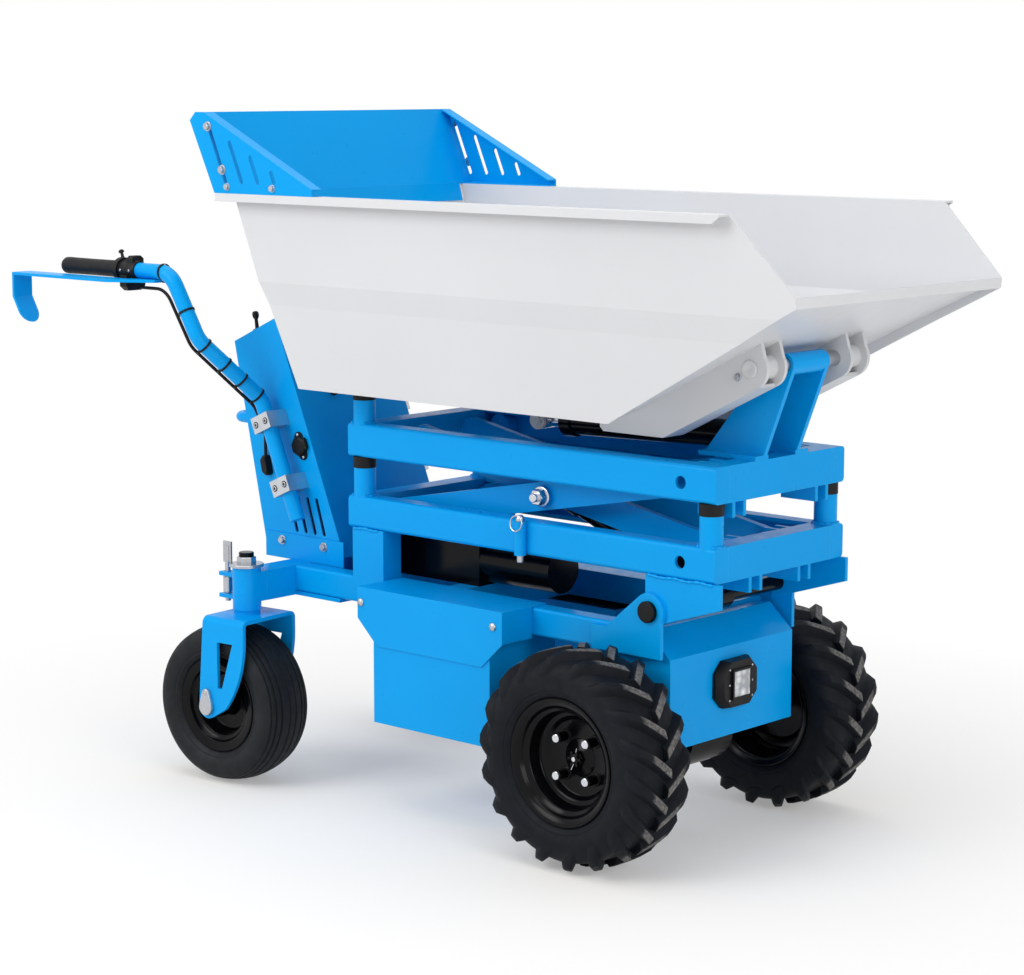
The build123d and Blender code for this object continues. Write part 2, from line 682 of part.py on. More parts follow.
def hopper_tub():
    """The open load tub: floor, chute between skirted sides, folded rim and pouring lip."""
    wide = HOPPER_RIM_HALF + RIM_FLANGE
    wall = HOPPER_WALL
    over = HOPPER_RIM_Z + wall
    outer = plate_yz(hopper_section(0, HOPPER_BOTTOM_Z), HOPPER_RIM_REAR_X, LIP_X)
    outer &= plate_xz(
        [
            (HOPPER_BOTTOM_REAR_X, HOPPER_BOTTOM_Z), (SKIRT_CORNER_X, HOPPER_BOTTOM_Z), (LIP_X, LIP_Z - LIP_HEIGHT),
            (LIP_X, LIP_Z), (HOPPER_RIM_FRONT_X, HOPPER_RIM_Z), (HOPPER_RIM_REAR_X, HOPPER_RIM_Z),
        ],
        -wide, wide,
    )
    load = plate_yz(hopper_section(wall, HOPPER_BOTTOM_Z), HOPPER_RIM_REAR_X, LIP_X + wall)
    load &= plate_xz(
        [
            (rear_wall_x(HOPPER_BOTTOM_Z + wall), HOPPER_BOTTOM_Z + wall), (CHUTE_FOOT_X, HOPPER_BOTTOM_Z + wall),
            (LIP_X + wall, chute_height(LIP_X + wall) + wall), (LIP_X + wall, over), (rear_wall_x(over), over),
        ],
        -wide, wide,
    )
    pocket = plate_yz(hopper_section(wall, HOPPER_BOTTOM_Z - wall), CHUTE_FOOT_X, LIP_X - wall)
    pocket &= plate_xz(
        [
            (CHUTE_FOOT_X, HOPPER_BOTTOM_Z), (LIP_X - wall, chute_height(LIP_X - wall)),
            (LIP_X - wall, HOPPER_BOTTOM_Z - wall), (CHUTE_FOOT_X, HOPPER_BOTTOM_Z - wall),
        ],
        -wide, wide,
    )
    tub = outer - load - pocket
    back = HOPPER_RIM_REAR_X - RIM_FLANGE
    front = HOPPER_RIM_FRONT_X
    rim = plate_xz(
        [
            (back, HOPPER_RIM_Z - RIM_TURN), (front - RIM_TURN, HOPPER_RIM_Z - RIM_TURN),
            (front, HOPPER_RIM_Z - wall), (front, HOPPER_RIM_Z), (back, HOPPER_RIM_Z),
        ],
        -wide, wide,
    )
    rim -= box(back + wall, LIP_X, -wide + wall, wide - wall, 0, HOPPER_RIM_Z - wall)
    half = HOPPER_RIM_HALF - wall
    rim -= box(HOPPER_RIM_REAR_X + wall, LIP_X, -half, half, 0, 2 * HOPPER_RIM_Z)
    return tub + rim


def lower_tangent(x, z, centre_x, centre_z, radius):
    """Where the lower tangent from a point touches a circle ahead of it."""
    reach = math.hypot(centre_x - x, centre_z - z)
    angle = math.atan2(centre_z - z, centre_x - x) - math.asin(radius / reach)
    length = math.sqrt(reach**2 - radius**2)
    return x + length * math.cos(angle), z + length * math.sin(angle)


def hinge_bracket():
    """A channel bracket under the chute: two eared plates, a folded bottom and a boss for the hinge pin."""
    low = HOPPER_BOTTOM_Z - BRACKET_DROP
    corner = (BRACKET_REAR_X, low + PLATE)
    heel = (BRACKET_REAR_X + PLATE, low)
    vertex = (BRACKET_VERTEX_X, low)
    toe = lower_tangent(*vertex, HINGE_X, HINGE_Z, HINGE_EAR_R)
    outline = [
        (BRACKET_REAR_X, HOPPER_BOTTOM_Z), (CHUTE_FOOT_X, HOPPER_BOTTOM_Z),
        (BRACKET_FRONT_X, chute_height(BRACKET_FRONT_X)), (HINGE_X + HINGE_EAR_R, HINGE_Z),
        toe, vertex, heel, corner,
    ]
    y0 = BRACKET_INNER_Y
    y1 = BRACKET_OUTER_Y + PLATE
    bracket = round_y(HINGE_X, HINGE_Z, HINGE_BOSS_R, y0, y1)
    for near in (BRACKET_INNER_Y, BRACKET_OUTER_Y):
        bracket += plate_xz(outline, near, near + PLATE)
        bracket += round_y(HINGE_X, HINGE_Z, HINGE_EAR_R, near, near + PLATE)
    bracket += sheet_strip(vertex, heel, 2 * SHEET, y0, y1)
    bracket += sheet_strip(toe, vertex, 2 * SHEET, y0, y1)
    front = HINGE_X + 2 * HINGE_EAR_R
    bracket -= plate_xz(
        [
            (CHUTE_FOOT_X, HOPPER_BOTTOM_Z), (front, chute_height(front)),
            (front, LIP_Z), (CHUTE_FOOT_X, LIP_Z),
        ],
        y0, y1,
    )
    return bracket - round_y(HINGE_X, HINGE_Z, HINGE_PIN_R, y0, y1)


def hopper_brackets():
    """Both hinge brackets, and the ears for the tip rod's eye."""
    near = EYE_WIDTH / 2 + SIDE_CLEAR
    ear = box(TIP_EYE_X - EYE_R, TIP_EYE_X + EYE_R, near, near + PLATE, TIP_EYE_Z, HOPPER_BOTTOM_Z)
    ear += round_y(TIP_EYE_X, TIP_EYE_Z, EYE_R, near, near + PLATE)
    ear += round_y(TIP_EYE_X, TIP_EYE_Z, SCISSOR_PIN_R, near, near + 2 * PLATE)
    return Compound([*pair(hinge_bracket()).solids(), *pair(ear).solids()])


def hinge_pin():
    """The pin that the hopper tips about, held in its brackets."""
    end = BRACKET_OUTER_Y + PLATE + SHEET
    return round_y(HINGE_X, HINGE_Z, HINGE_PIN_R, -end, end)


def pivot_tower():
    """Two leaning plates on foot pads, with the tube that the hinge pin turns in and the tip cylinder's pin."""
    base_z = UPPER_TOP + PLATE
    y0 = TOWER_Y - TOWER_THICK / 2
    y1 = TOWER_Y + TOWER_THICK / 2
    waist = ((TOWER_REAR_X + HINGE_X - TOWER_TUBE_R) / 2 - TOWER_TUBE_R / 2, (base_z + HINGE_Z) / 2)
    plate = plate_xz(
        [
            (TOWER_REAR_X, base_z), (LIFT_FRONT_X, base_z),
            (HINGE_X + TOWER_TUBE_R * 0.95, HINGE_Z - TOWER_TUBE_R * 0.3),
            (HINGE_X - TOWER_TUBE_R * 0.9, HINGE_Z + TOWER_TUBE_R * 0.4), waist,
        ],
        y0, y1,
    )
    plate += round_y(HINGE_X, HINGE_Z, TOWER_TUBE_R, y0, y1)
    plate += box(TOWER_REAR_X, LIFT_FRONT_X, y0 - PLATE / 2, y1 + TOWER_FOOT, UPPER_TOP, base_z)
    tower = plate + mirrored(plate)
    tower += round_y(HINGE_X, HINGE_Z, TOWER_TUBE_R, -y0, y0)
    tower += round_y(TIP_PIN_X, TIP_PIN_Z, SCISSOR_PIN_R, -y0, y0)
    return tower - round_y(HINGE_X, HINGE_Z, HINGE_PIN_R + RUN_CLEAR, -2 * y1, 2 * y1)


def guard_panel():
    """The back panel that keeps spill off the console, bolted inside the hopper's rear wall."""
    foot_x = rear_wall_x(HOPPER_RIM_Z)
    top_x = foot_x - GUARD_LEAN
    top_z = HOPPER_RIM_Z + GUARD_HEIGHT
    tab_z = HOPPER_RIM_Z - GUARD_TAB
    half = HOPPER_RIM_HALF + RIM_FLANGE - SHEET
    tab = plate_xz(
        [
            (rear_wall_x(tab_z), tab_z), (rear_wall_x(tab_z) + SHEET, tab_z),
            (foot_x + SHEET, HOPPER_RIM_Z + SHEET), (foot_x, HOPPER_RIM_Z),
        ],
        -HOPPER_CREASE_HIGH_HALF, HOPPER_CREASE_HIGH_HALF,
    )
    panel = tab + plate_xz(
        [(foot_x, HOPPER_RIM_Z), (foot_x + SHEET, HOPPER_RIM_Z), (top_x + SHEET, top_z), (top_x, top_z)],
        -half, half,
    )
    flange = plate_xz(
        [
            (foot_x, HOPPER_RIM_Z), (top_x, top_z),
            (top_x - GUARD_FLANGE, top_z - PLATE), (foot_x - GUARD_FLANGE, HOPPER_RIM_Z),
        ],
        half - SHEET, half,
    )
    return panel + flange + mirrored(flange)


def guard_sides():
    """Slotted side panels with a folded upper edge, bolted to the back panel and the rim."""
    half = HOPPER_RIM_HALF + RIM_FLANGE
    inner = half - GUARD_FLANGE
    foot_x = rear_wall_x(HOPPER_RIM_Z)
    top_x = foot_x - GUARD_LEAN
    tip_x = foot_x - GUARD_REAR + GUARD_LENGTH
    top_z = HOPPER_RIM_Z + GUARD_HEIGHT
    tip = (tip_x, HOPPER_RIM_Z + GUARD_TIP)
    brow = (top_x + PLATE, top_z)
    panel = plate_xz(
        [
            (foot_x - GUARD_REAR, HOPPER_RIM_Z), (tip_x, HOPPER_RIM_Z), tip, brow,
            (top_x - GUARD_REAR / 2, top_z), (top_x - GUARD_REAR, top_z - GUARD_REAR / 2),
        ],
        half - SHEET, half,
    )
    slope = (brow[1] - tip[1]) / (tip[0] - brow[0])
    lean = GUARD_LEAN / GUARD_HEIGHT
    for index in range(SLOT_COUNT):
        low_x = foot_x + index * SLOT_PITCH
        low_z = HOPPER_RIM_Z + SLOT_MARGIN
        rise = (tip[1] + (tip_x - low_x) * slope - SLOT_MARGIN - low_z) / (1 - slope * lean)
        panel -= link_plate(
            low_x, low_z, low_x - rise * lean, low_z + rise, SLOT_WIDTH, SLOT_WIDTH / 2, 0, 2 * half,
        )
    panel += sheet_strip(brow, tip, SHEET, inner, half)
    front_of_panel = foot_x + 2 * SHEET
    panel += box(front_of_panel, tip_x, inner, half, HOPPER_RIM_Z, HOPPER_RIM_Z + SHEET)
    return pair(panel)


def console_profile(inset):
    """The console's X, Z outline, set in by its sheet thickness."""
    return [
        (CONSOLE_FRONT_BOTTOM_X - inset, CONSOLE_BOTTOM_Z + inset),
        (CONSOLE_REAR_BOTTOM_X + inset, CONSOLE_BOTTOM_Z + inset),
        (CONSOLE_REAR_TOP[0] + inset, CONSOLE_REAR_TOP[1] - inset / 2),
        (CONSOLE_FRONT_TOP[0] - inset, CONSOLE_FRONT_TOP[1] - 2 * inset),
    ]


def console_front_x(z):
    """The console's front face at a height."""
    return CONSOLE_FRONT_BOTTOM_X - (z - CONSOLE_BOTTOM_Z) * CONSOLE_FRONT_LEAN / CONSOLE_FRONT_RISE


def console_rear_x(z):
    """The console's rear face at a height."""
    return CONSOLE_REAR_BOTTOM_X - (z - CONSOLE_BOTTOM_Z) * CONSOLE_REAR_LEAN / CONSOLE_REAR_RISE


def console_shell():
    """The folded sheet console, with slanted louvres low in both sides."""
    shell = plate_xz(console_profile(0), -CONSOLE_HALF, CONSOLE_HALF)
    shell -= plate_xz(console_profile(SHEET), -CONSOLE_HALF + SHEET, CONSOLE_HALF - SHEET)
    for index in range(LOUVRE_COUNT):
        x = LOUVRE_X + index * LOUVRE_PITCH
        shell -= link_plate(
            x, LOUVRE_Z + LOUVRE_HEIGHT, x + LOUVRE_LEAN, LOUVRE_Z, LOUVRE_WIDTH, LOUVRE_WIDTH / 2,
            -2 * CONSOLE_HALF, 2 * CONSOLE_HALF,
        )
    return shell


def console_stand():
    """The bent plates under the console, on the rear beam, with a bolted band along each side."""
    rear = CONSOLE_REAR_BOTTOM_X
    front = SWIVEL_X + BEAM_DEPTH / 2
    half = CONSOLE_HALF
    stand = box(rear, front, -half, half, RAIL_TOP, RAIL_TOP + PLATE)
    stand += box(rear, rear + PLATE, -half, half, RAIL_TOP, CONSOLE_BOTTOM_Z)
    stand += box(front - PLATE, front, -half, half, RAIL_TOP, CONSOLE_BOTTOM_Z)
    for side in (-1, 1):
        stand += box(
            rear, CONSOLE_FRONT_BOTTOM_X, side * half, side * (half + SHEET),
            RAIL_TOP, CONSOLE_BOTTOM_Z + CONSOLE_BAND,
        )
    return stand


def console_fittings():
    """Cable glands, the charging socket, the lever on top and the knob on the front face."""
    gland = box(
        GLAND_X - GLAND_LENGTH / 2, GLAND_X + GLAND_LENGTH / 2, CONSOLE_HALF, CONSOLE_HALF + GLAND_DEPTH,
        GLAND_Z - GLAND_LENGTH / 2, GLAND_Z + GLAND_LENGTH / 2,
    )
    side = -CONSOLE_HALF
    half = SOCKET_SIZE / 2
    socket = box(SOCKET_X - half, SOCKET_X + half, side - SOCKET_DEPTH, side, SOCKET_Z - half, SOCKET_Z + half)
    slope = (CONSOLE_FRONT_TOP[1] - CONSOLE_REAR_TOP[1]) / (CONSOLE_FRONT_TOP[0] - CONSOLE_REAR_TOP[0])
    deck = CONSOLE_REAR_TOP[1] + (PADDLE_X - CONSOLE_REAR_TOP[0]) * slope
    paddle = box(
        PADDLE_X - PADDLE_WIDTH / 2, PADDLE_X + PADDLE_WIDTH / 2,
        -PADDLE_Y - PADDLE_WIDTH / 2, -PADDLE_Y + PADDLE_WIDTH / 2, deck - PADDLE_WIDTH, deck + PADDLE_HEIGHT,
    )
    reach = console_front_x(KNOB_Z)
    knob = round_x(-KNOB_Y, KNOB_Z, KNOB_R, reach - KNOB_R, reach + KNOB_R)
    body = plate_xz(console_profile(0), -CONSOLE_HALF, CONSOLE_HALF)
    loose = [*socket.solids(), *(paddle - body).solids(), *(knob - body).solids()]
    return Compound([*pair(gland).solids(), *loose])


def handle_tube():
    """A bent handle tube."""
    points = [
        (HANDLE_FOOT[0], HANDLE_Y, HANDLE_FOOT[1]), (HANDLE_KINK[0], HANDLE_Y, HANDLE_KINK[1]),
        (HANDLE_MID[0], GRIP_Y - HANDLE_MID_IN, HANDLE_MID[1]),
        (HANDLE_BEND_X, GRIP_Y, GRIP_Z), (GRIP_REAR_X + SHEET, GRIP_Y, GRIP_Z),
    ]
    return tube_along(FilletPolyline(*points, radius=HANDLE_BEND_R), HANDLE_R)


def handle_guard():
    """The flat bar outside the grip that guards the hand, hooked down at its rear end."""
    top = GRIP_Z - HANDLE_R
    y0 = GRIP_Y + GRIP_R + SIDE_CLEAR
    y1 = y0 + GUARD_BAR_WIDTH
    root_x = HANDLE_BEND_X - 2 * HANDLE_R
    wide_x = root_x - 2 * GUARD_BAR_WIDTH
    plan = Polyline(
        (root_x, GRIP_Y - HANDLE_R), (root_x, GRIP_Y + HANDLE_R), (wide_x, y1), (GUARD_BAR_REAR_X, y1),
        (GUARD_BAR_REAR_X, y0), (wide_x - HANDLE_R, y0), (root_x - GUARD_BAR_WIDTH, GRIP_Y - HANDLE_R),
        close=True,
    )
    bar = Pos(0, 0, top - GUARD_BAR_THICK) * extrude(make_face(plan), GUARD_BAR_THICK)
    knee = top - GUARD_BAR_DROP
    end = knee - GUARD_BAR_TAIL
    rear = GUARD_BAR_REAR_X
    thick = GUARD_BAR_THICK
    hook = plate_xz(
        [
            (rear, top), (rear + thick, top), (rear + thick, knee), (rear + thick + GUARD_BAR_LEAN, end),
            (rear + GUARD_BAR_LEAN, end), (rear, knee),
        ],
        y0, y1,
    )
    end_r = GUARD_BAR_WIDTH / 2
    tail_x = rear + 2 * GUARD_BAR_LEAN
    keep = box(rear, tail_x, y0, y1, end + end_r, top) + round_x((y0 + y1) / 2, end + end_r, end_r, rear, tail_x)
    return bar + (hook & keep)


def grip():
    """A rubber grip over the handle's end."""
    sleeve = round_x(GRIP_Y, GRIP_Z, GRIP_R, GRIP_REAR_X, GRIP_REAR_X + GRIP_LENGTH)
    return sleeve - round_x(GRIP_Y, GRIP_Z, HANDLE_R, GRIP_REAR_X + SHEET, GRIP_REAR_X + 2 * GRIP_LENGTH)


def hand_control():
    """The control clamped ahead of the grip: ring, switch block with its lever, and the block under the bar."""
    rear = GRIP_REAR_X + GRIP_LENGTH + RUN_CLEAR
    ring_end = rear + CONTROL_RING
    front = rear + CONTROL_LENGTH
    ring_low = GRIP_Z - CONTROL_RING_R
    control = round_x(GRIP_Y, GRIP_Z, CONTROL_RING_R, rear, ring_end)
    control += box(
        rear, front, GRIP_Y - CONTROL_HALF, GRIP_Y + CONTROL_HALF,
        GRIP_Z + HANDLE_R + SIDE_CLEAR, GRIP_Z + HANDLE_R + CONTROL_DEPTH,
    )
    control += box(
        rear, rear + CONTROL_HALF, GRIP_Y - CONTROL_HALF / 2, GRIP_Y + CONTROL_HALF / 2,
        GRIP_Z, GRIP_Z + CONTROL_RING_R + LEVER_HEIGHT,
    )
    control += box(
        rear, rear + CONTROL_HALF, GRIP_Y - CONTROL_HALF, GRIP_Y + CONTROL_HALF, ring_low - CONTROL_DEPTH, GRIP_Z,
    )
    control += box(
        rear, front, GRIP_Y - CONTROL_HALF, GRIP_Y + CONTROL_HALF, ring_low - CONTROL_DEPTH, CONTROL_LOW_TOP,
    )
    return control - round_x(GRIP_Y, GRIP_Z, HANDLE_R + RUN_CLEAR, rear, front)


def handle_cable():
    """The control's cable, tied along the underside of the handle tube down to its gland."""
    start = GRIP_REAR_X + GRIP_LENGTH + RUN_CLEAR + CONTROL_LENGTH
    level = CONTROL_LOW_TOP - CONTROL_DEPTH / 2
    hug = HANDLE_R + 2 * CABLE_R
    points = [
        (start, GRIP_Y, level), (HANDLE_BEND_X - HANDLE_R, GRIP_Y, level),
        (HANDLE_MID[0] - hug, GRIP_Y - HANDLE_MID_IN, HANDLE_MID[1] - HANDLE_R),
        (HANDLE_KINK[0] - hug, HANDLE_Y, HANDLE_KINK[1] - HANDLE_R),
        (GLAND_X, CONSOLE_HALF + GLAND_DEPTH / 2, GLAND_Z + 3 * GLAND_LENGTH),
        (GLAND_X, CONSOLE_HALF + GLAND_DEPTH / 2, GLAND_Z + GLAND_LENGTH / 2),
    ]
    return tube_along(FilletPolyline(*points, radius=CABLE_BEND_R), CABLE_R)


def handle_clamps():
    """Clamp blocks that hold each handle's straight foot against the console's side."""
    outer = HANDLE_Y + HANDLE_R + CLAMP_WALL
    run = HANDLE_KINK[0] - HANDLE_FOOT[0]
    rise = HANDLE_KINK[1] - HANDLE_FOOT[1]
    lean = math.degrees(math.atan2(run, rise))
    solids = []
    for z in CLAMP_HEIGHTS:
        x = HANDLE_FOOT[0] + (z - HANDLE_FOOT[1]) * run / rise
        middle = (CONSOLE_HALF + outer) / 2 - HANDLE_Y
        block = Pos(0, middle, 0) * Box(CLAMP_WIDTH, outer - CONSOLE_HALF, CLAMP_HEIGHT)
        block -= Cylinder(HANDLE_R + RUN_CLEAR, 2 * CLAMP_HEIGHT)
        solids += pair(Pos(x, HANDLE_Y, z) * Rot(0, lean, 0) * block).solids()
    return Compound(solids)


def grab_bar():
    """A U-shaped grab bar behind the console."""
    z = CONSOLE_BOTTOM_Z + GRAB_RISE
    root = console_rear_x(z) + SHEET / 2
    path = FilletPolyline(
        (root, GRAB_HALF, z), (root - GRAB_REACH, GRAB_HALF, z),
        (root - GRAB_REACH, -GRAB_HALF, z), (root, -GRAB_HALF, z), radius=GRAB_BEND,
    )
    return tube_along(path, GRAB_R) - plate_xz(console_profile(0), -CONSOLE_HALF, CONSOLE_HALF)


def battery_box():
    """An open steel tray hung under the rails."""
    outer_y = BATTERY_OUTER_Y - SHEET
    tray = box(BATTERY_REAR_X, BATTERY_FRONT_X, BATTERY_INNER_Y, outer_y, BATTERY_BOTTOM_Z, RAIL_BOTTOM)
    tray -= box(
        BATTERY_REAR_X + SHEET, BATTERY_FRONT_X - SHEET, BATTERY_INNER_Y + SHEET, outer_y - SHEET,
        BATTERY_BOTTOM_Z + SHEET, RAIL_TOP,
    )
    return tray


def battery_lid():
    """The folded lid over a battery tray, bolted on top of the rail."""
    top = RAIL_TOP + SHEET
    shoulder = LID_BOTTOM_Z + LID_CHAMFER_RISE
    apron = plate_xz(
        [
            (LID_REAR_X, top), (LID_FRONT_X, top), (LID_FRONT_X, shoulder),
            (LID_FRONT_X - LID_CHAMFER_X, LID_BOTTOM_Z), (LID_REAR_X + LID_CHAMFER_X, LID_BOTTOM_Z),
            (LID_REAR_X, shoulder),
        ],
        BATTERY_OUTER_Y - SHEET, BATTERY_OUTER_Y,
    )
    lid = apron + box(LID_REAR_X, LID_FRONT_X, FRAME_HALF - RAIL_WIDTH, BATTERY_OUTER_Y, RAIL_TOP, top)
    for x in (LID_REAR_X, LID_FRONT_X - SHEET):
        lid += box(x, x + SHEET, FRAME_HALF, BATTERY_OUTER_Y, shoulder, top)
    return lid


def battery():
    """A plain battery block in its tray."""
    gap = BATTERY_GAP
    return box(
        BATTERY_REAR_X + gap, BATTERY_FRONT_X - gap, BATTERY_INNER_Y + gap, BATTERY_OUTER_Y - SHEET - gap,
        BATTERY_BOTTOM_Z + SHEET, RAIL_BOTTOM - gap,
    )


def cover_outline(inset):
    """The front cover's X, Z outline, set in by its sheet thickness."""
    step = RAIL_FRONT_X + PLATE - 2 * inset
    return [
        (COVER_FRONT_X - inset, COVER_BOTTOM_Z - inset), (COVER_FRONT_X - inset, COVER_BEND_Z - inset / 2),
        (COVER_FRONT_X - COVER_SLOPE - inset, COVER_TOP_Z - inset), (step, COVER_TOP_Z - inset),
        (step, RAIL_BOTTOM - inset), (COVER_REAR_X - inset, RAIL_BOTTOM - inset),
        (COVER_REAR_X - inset, COVER_BOTTOM_Z - inset),
    ]


def front_cover():
    """The folded cover over the drive, open below and behind."""
    inner = COVER_HALF - SHEET
    cover = plate_xz(cover_outline(0), -COVER_HALF, COVER_HALF)
    cover -= plate_xz(cover_outline(SHEET), -inner, inner)
    cover -= box(COVER_REAR_X, RAIL_FRONT_X, -inner, inner, 0, RAIL_TOP)
    return cover - box(-AXLE_NOTCH, AXLE_NOTCH, -2 * COVER_HALF, 2 * COVER_HALF, 0, FRONT_TYRE_R + AXLE_NOTCH)


def octagon(y, z, width, height, cut):
    """An eight-sided Y, Z outline."""
    w = width / 2
    h = height / 2
    return [
        (y - w, z - h + cut), (y - w, z + h - cut), (y - w + cut, z + h), (y + w - cut, z + h),
        (y + w, z + h - cut), (y + w, z - h + cut), (y + w - cut, z - h), (y - w + cut, z - h),
    ]


def work_lamp():
    """The lamp's black housing on the front cover."""
    return plate_yz(
        octagon(0, LAMP_Z, LAMP_WIDTH, LAMP_HEIGHT, LAMP_CUT), COVER_FRONT_X, COVER_FRONT_X + LAMP_DEPTH,
    )


def lamp_lens():
    front = COVER_FRONT_X + LAMP_DEPTH
    half = LENS_SIZE / 2
    return box(front, front + SHEET, -half, half, LAMP_Z - half, LAMP_Z + half)


def drive_axle():
    """The gear motor and its axle tubes, hung from the front cross member."""
    end = FRAME_HALF + LUG_GAP
    axle = round_y(0, FRONT_TYRE_R, AXLE_TUBE_R, -end, end)
    axle += round_y(0, FRONT_TYRE_R, GEARBOX_R, -GEARBOX_HALF, GEARBOX_HALF)
    for side in (-1, 1):
        axle += box(
            -HANGER_REAR, HANGER_FRONT, side * HANGER_Y, side * (HANGER_Y + HANGER_WIDTH), FRONT_TYRE_R, RAIL_BOTTOM,
        )
        axle -= round_y(0, FRONT_TYRE_R, AXLE_R + RUN_CLEAR, side * (end - AXLE_BORE), side * end)
    return axle


def wheel_profile(points):
    """A full turn about the wheel's axis, from (radius, offset) points."""
    face = make_face(Polyline(*points, close=True))
    return revolve(Plane.XY * face, axis=Axis.Y)


def ring_corners(offset, radius, sides):
    """The corners of a regular polygon about the Y axis, with one at its top."""
    step = 2 * math.pi / sides
    return [(radius * math.sin(step * k), offset, radius * math.cos(step * k)) for k in range(sides)]


def faceted(loop, sides):
    """A flat-faced ring about the Y axis from a closed loop of (offset, radius) points."""
    rings = [ring_corners(offset, radius, sides) for offset, radius in loop]
    faces = []
    for near, far in zip(rings, rings[1:] + rings[:1]):
        for k in range(sides):
            after = (k + 1) % sides
            faces.append(Face(Wire.make_polygon([near[k], near[after], far[after], far[k]])))
    return Solid(Shell(faces))


def both_ways(half_sections):
    """Sections of a symmetrical tyre from those of one half, widest first."""
    return [(-y, radius) for y, radius in half_sections] + [(y, radius) for y, radius in reversed(half_sections)]


def carcass(half_sections, sides, rim_r, rim_half):
    """A plain tyre with a bore on the rim and a dished bead beside its lips."""
    fit = 1 / math.cos(math.pi / sides)
    bore = (rim_r + RUN_CLEAR) * fit
    lip = (rim_r + RIM_LIP + RUN_CLEAR) * fit
    seat = [(rim_half, lip), (rim_half, bore), (-rim_half, bore), (-rim_half, lip)]
    return faceted(both_ways(half_sections) + seat, sides)


def drive_lug(envelope):
    """One slanting bar of the drive tyre's tread, from near its middle to the shoulder."""
    across = LUG_LENGTH * math.cos(math.radians(LUG_ANGLE)) / 2
    middle = FRONT_TYRE_WIDTH / 2 - across
    bar = Box(LUG_WIDTH, LUG_LENGTH, 2 * LUG_HEIGHT + PLATE)
    bar = Pos(0, middle, FRONT_TYRE_R - LUG_HEIGHT) * Rot(0, 0, LUG_ANGLE) * bar
    return bar & envelope


def front_tyre():
    """A drive tyre with staggered slanting lugs on both sides of its tread."""
    half = FRONT_TYRE_WIDTH / 2
    tread_r = FRONT_TYRE_R - LUG_HEIGHT
    wide_r = (FRONT_RIM_R + FRONT_TYRE_R) / 2
    tyre = carcass(
        [(half, wide_r), (half * 0.87, tread_r * 0.95), (half * 0.45, tread_r)],
        FRONT_SIDES, FRONT_RIM_R, FRONT_RIM_WIDTH / 2,
    )
    outside = both_ways([(half, FRONT_TYRE_R * 0.86), (half * 0.66, FRONT_TYRE_R)])
    envelope = faceted(outside + [(half, FRONT_RIM_R), (-half, FRONT_RIM_R)], LUGS_PER_SIDE)
    lug = drive_lug(envelope)
    other = mirrored(lug)
    pitch = 360 / LUGS_PER_SIDE
    lugs = []
    for index in range(LUGS_PER_SIDE):
        lugs.append(Rot(0, index * pitch, 0) * lug)
        lugs.append(Rot(0, (index + 0.5) * pitch, 0) * other)
    return Pos(0, FRONT_TRACK_HALF, FRONT_TYRE_R) * tyre.fuse(*lugs)


def rim_barrel(rim_r, half):
    """A rim's barrel with a lip at each side."""
    inner = rim_r - RIM_WALL
    lip = rim_r + RIM_LIP
    seat = half + RUN_CLEAR
    end = seat + RIM_WALL
    return wheel_profile([
        (inner, -end), (lip, -end), (lip, -seat), (rim_r, -seat),
        (rim_r, seat), (lip, seat), (lip, end), (inner, end),
    ])


def front_rim():
    """A drive wheel's rim with a dished disc, a hat, a hub and the shaft into the axle."""
    bond = FRONT_RIM_R - RIM_WALL / 2
    rim = rim_barrel(FRONT_RIM_R, FRONT_RIM_WIDTH / 2)
    rim += round_y(0, 0, bond, DISC_Y, DISC_Y + PLATE)
    rim += round_y(0, 0, HAT_R, DISC_Y, DISC_Y + HAT_HEIGHT)
    rim += round_y(0, 0, HUB_R, DISC_Y, DISC_Y + HUB_HEIGHT)
    rim += round_y(0, 0, AXLE_R, FRAME_HALF - FRONT_TRACK_HALF - AXLE_BORE / 2, DISC_Y)
    return Pos(0, FRONT_TRACK_HALF, FRONT_TYRE_R) * rim


def at_caster(shape):
    """Place a shape built about a swivel axis on the left caster, turned as it stands."""
    return Pos(SWIVEL_X, SWIVEL_HALF, 0) * Rot(0, 0, -CASTER_TURN) * shape


def fork_outline():
    """The fork arm's side view, about the swivel axis."""
    axle_z = CASTER_TYRE_R
    knee = (FORK_FRONT, FORK_TOP_Z - FORK_REAR + PLATE)
    waist = (FORK_FRONT - FORK_WAIST, (knee[1] + axle_z) / 2)
    toe = (PLATE, axle_z)
    arc = ThreePointArc(knee, waist, toe)
    rest = Polyline(
        toe, (-CASTER_TRAIL + FORK_END_R / 2, axle_z - FORK_END_R + SHEET), (-CASTER_TRAIL - FORK_END_R, axle_z),
        (-FORK_REAR, FORK_TOP_Z), (FORK_FRONT, FORK_TOP_Z), knee,
    )
    return make_face([*arc.edges(), *rest.edges()])


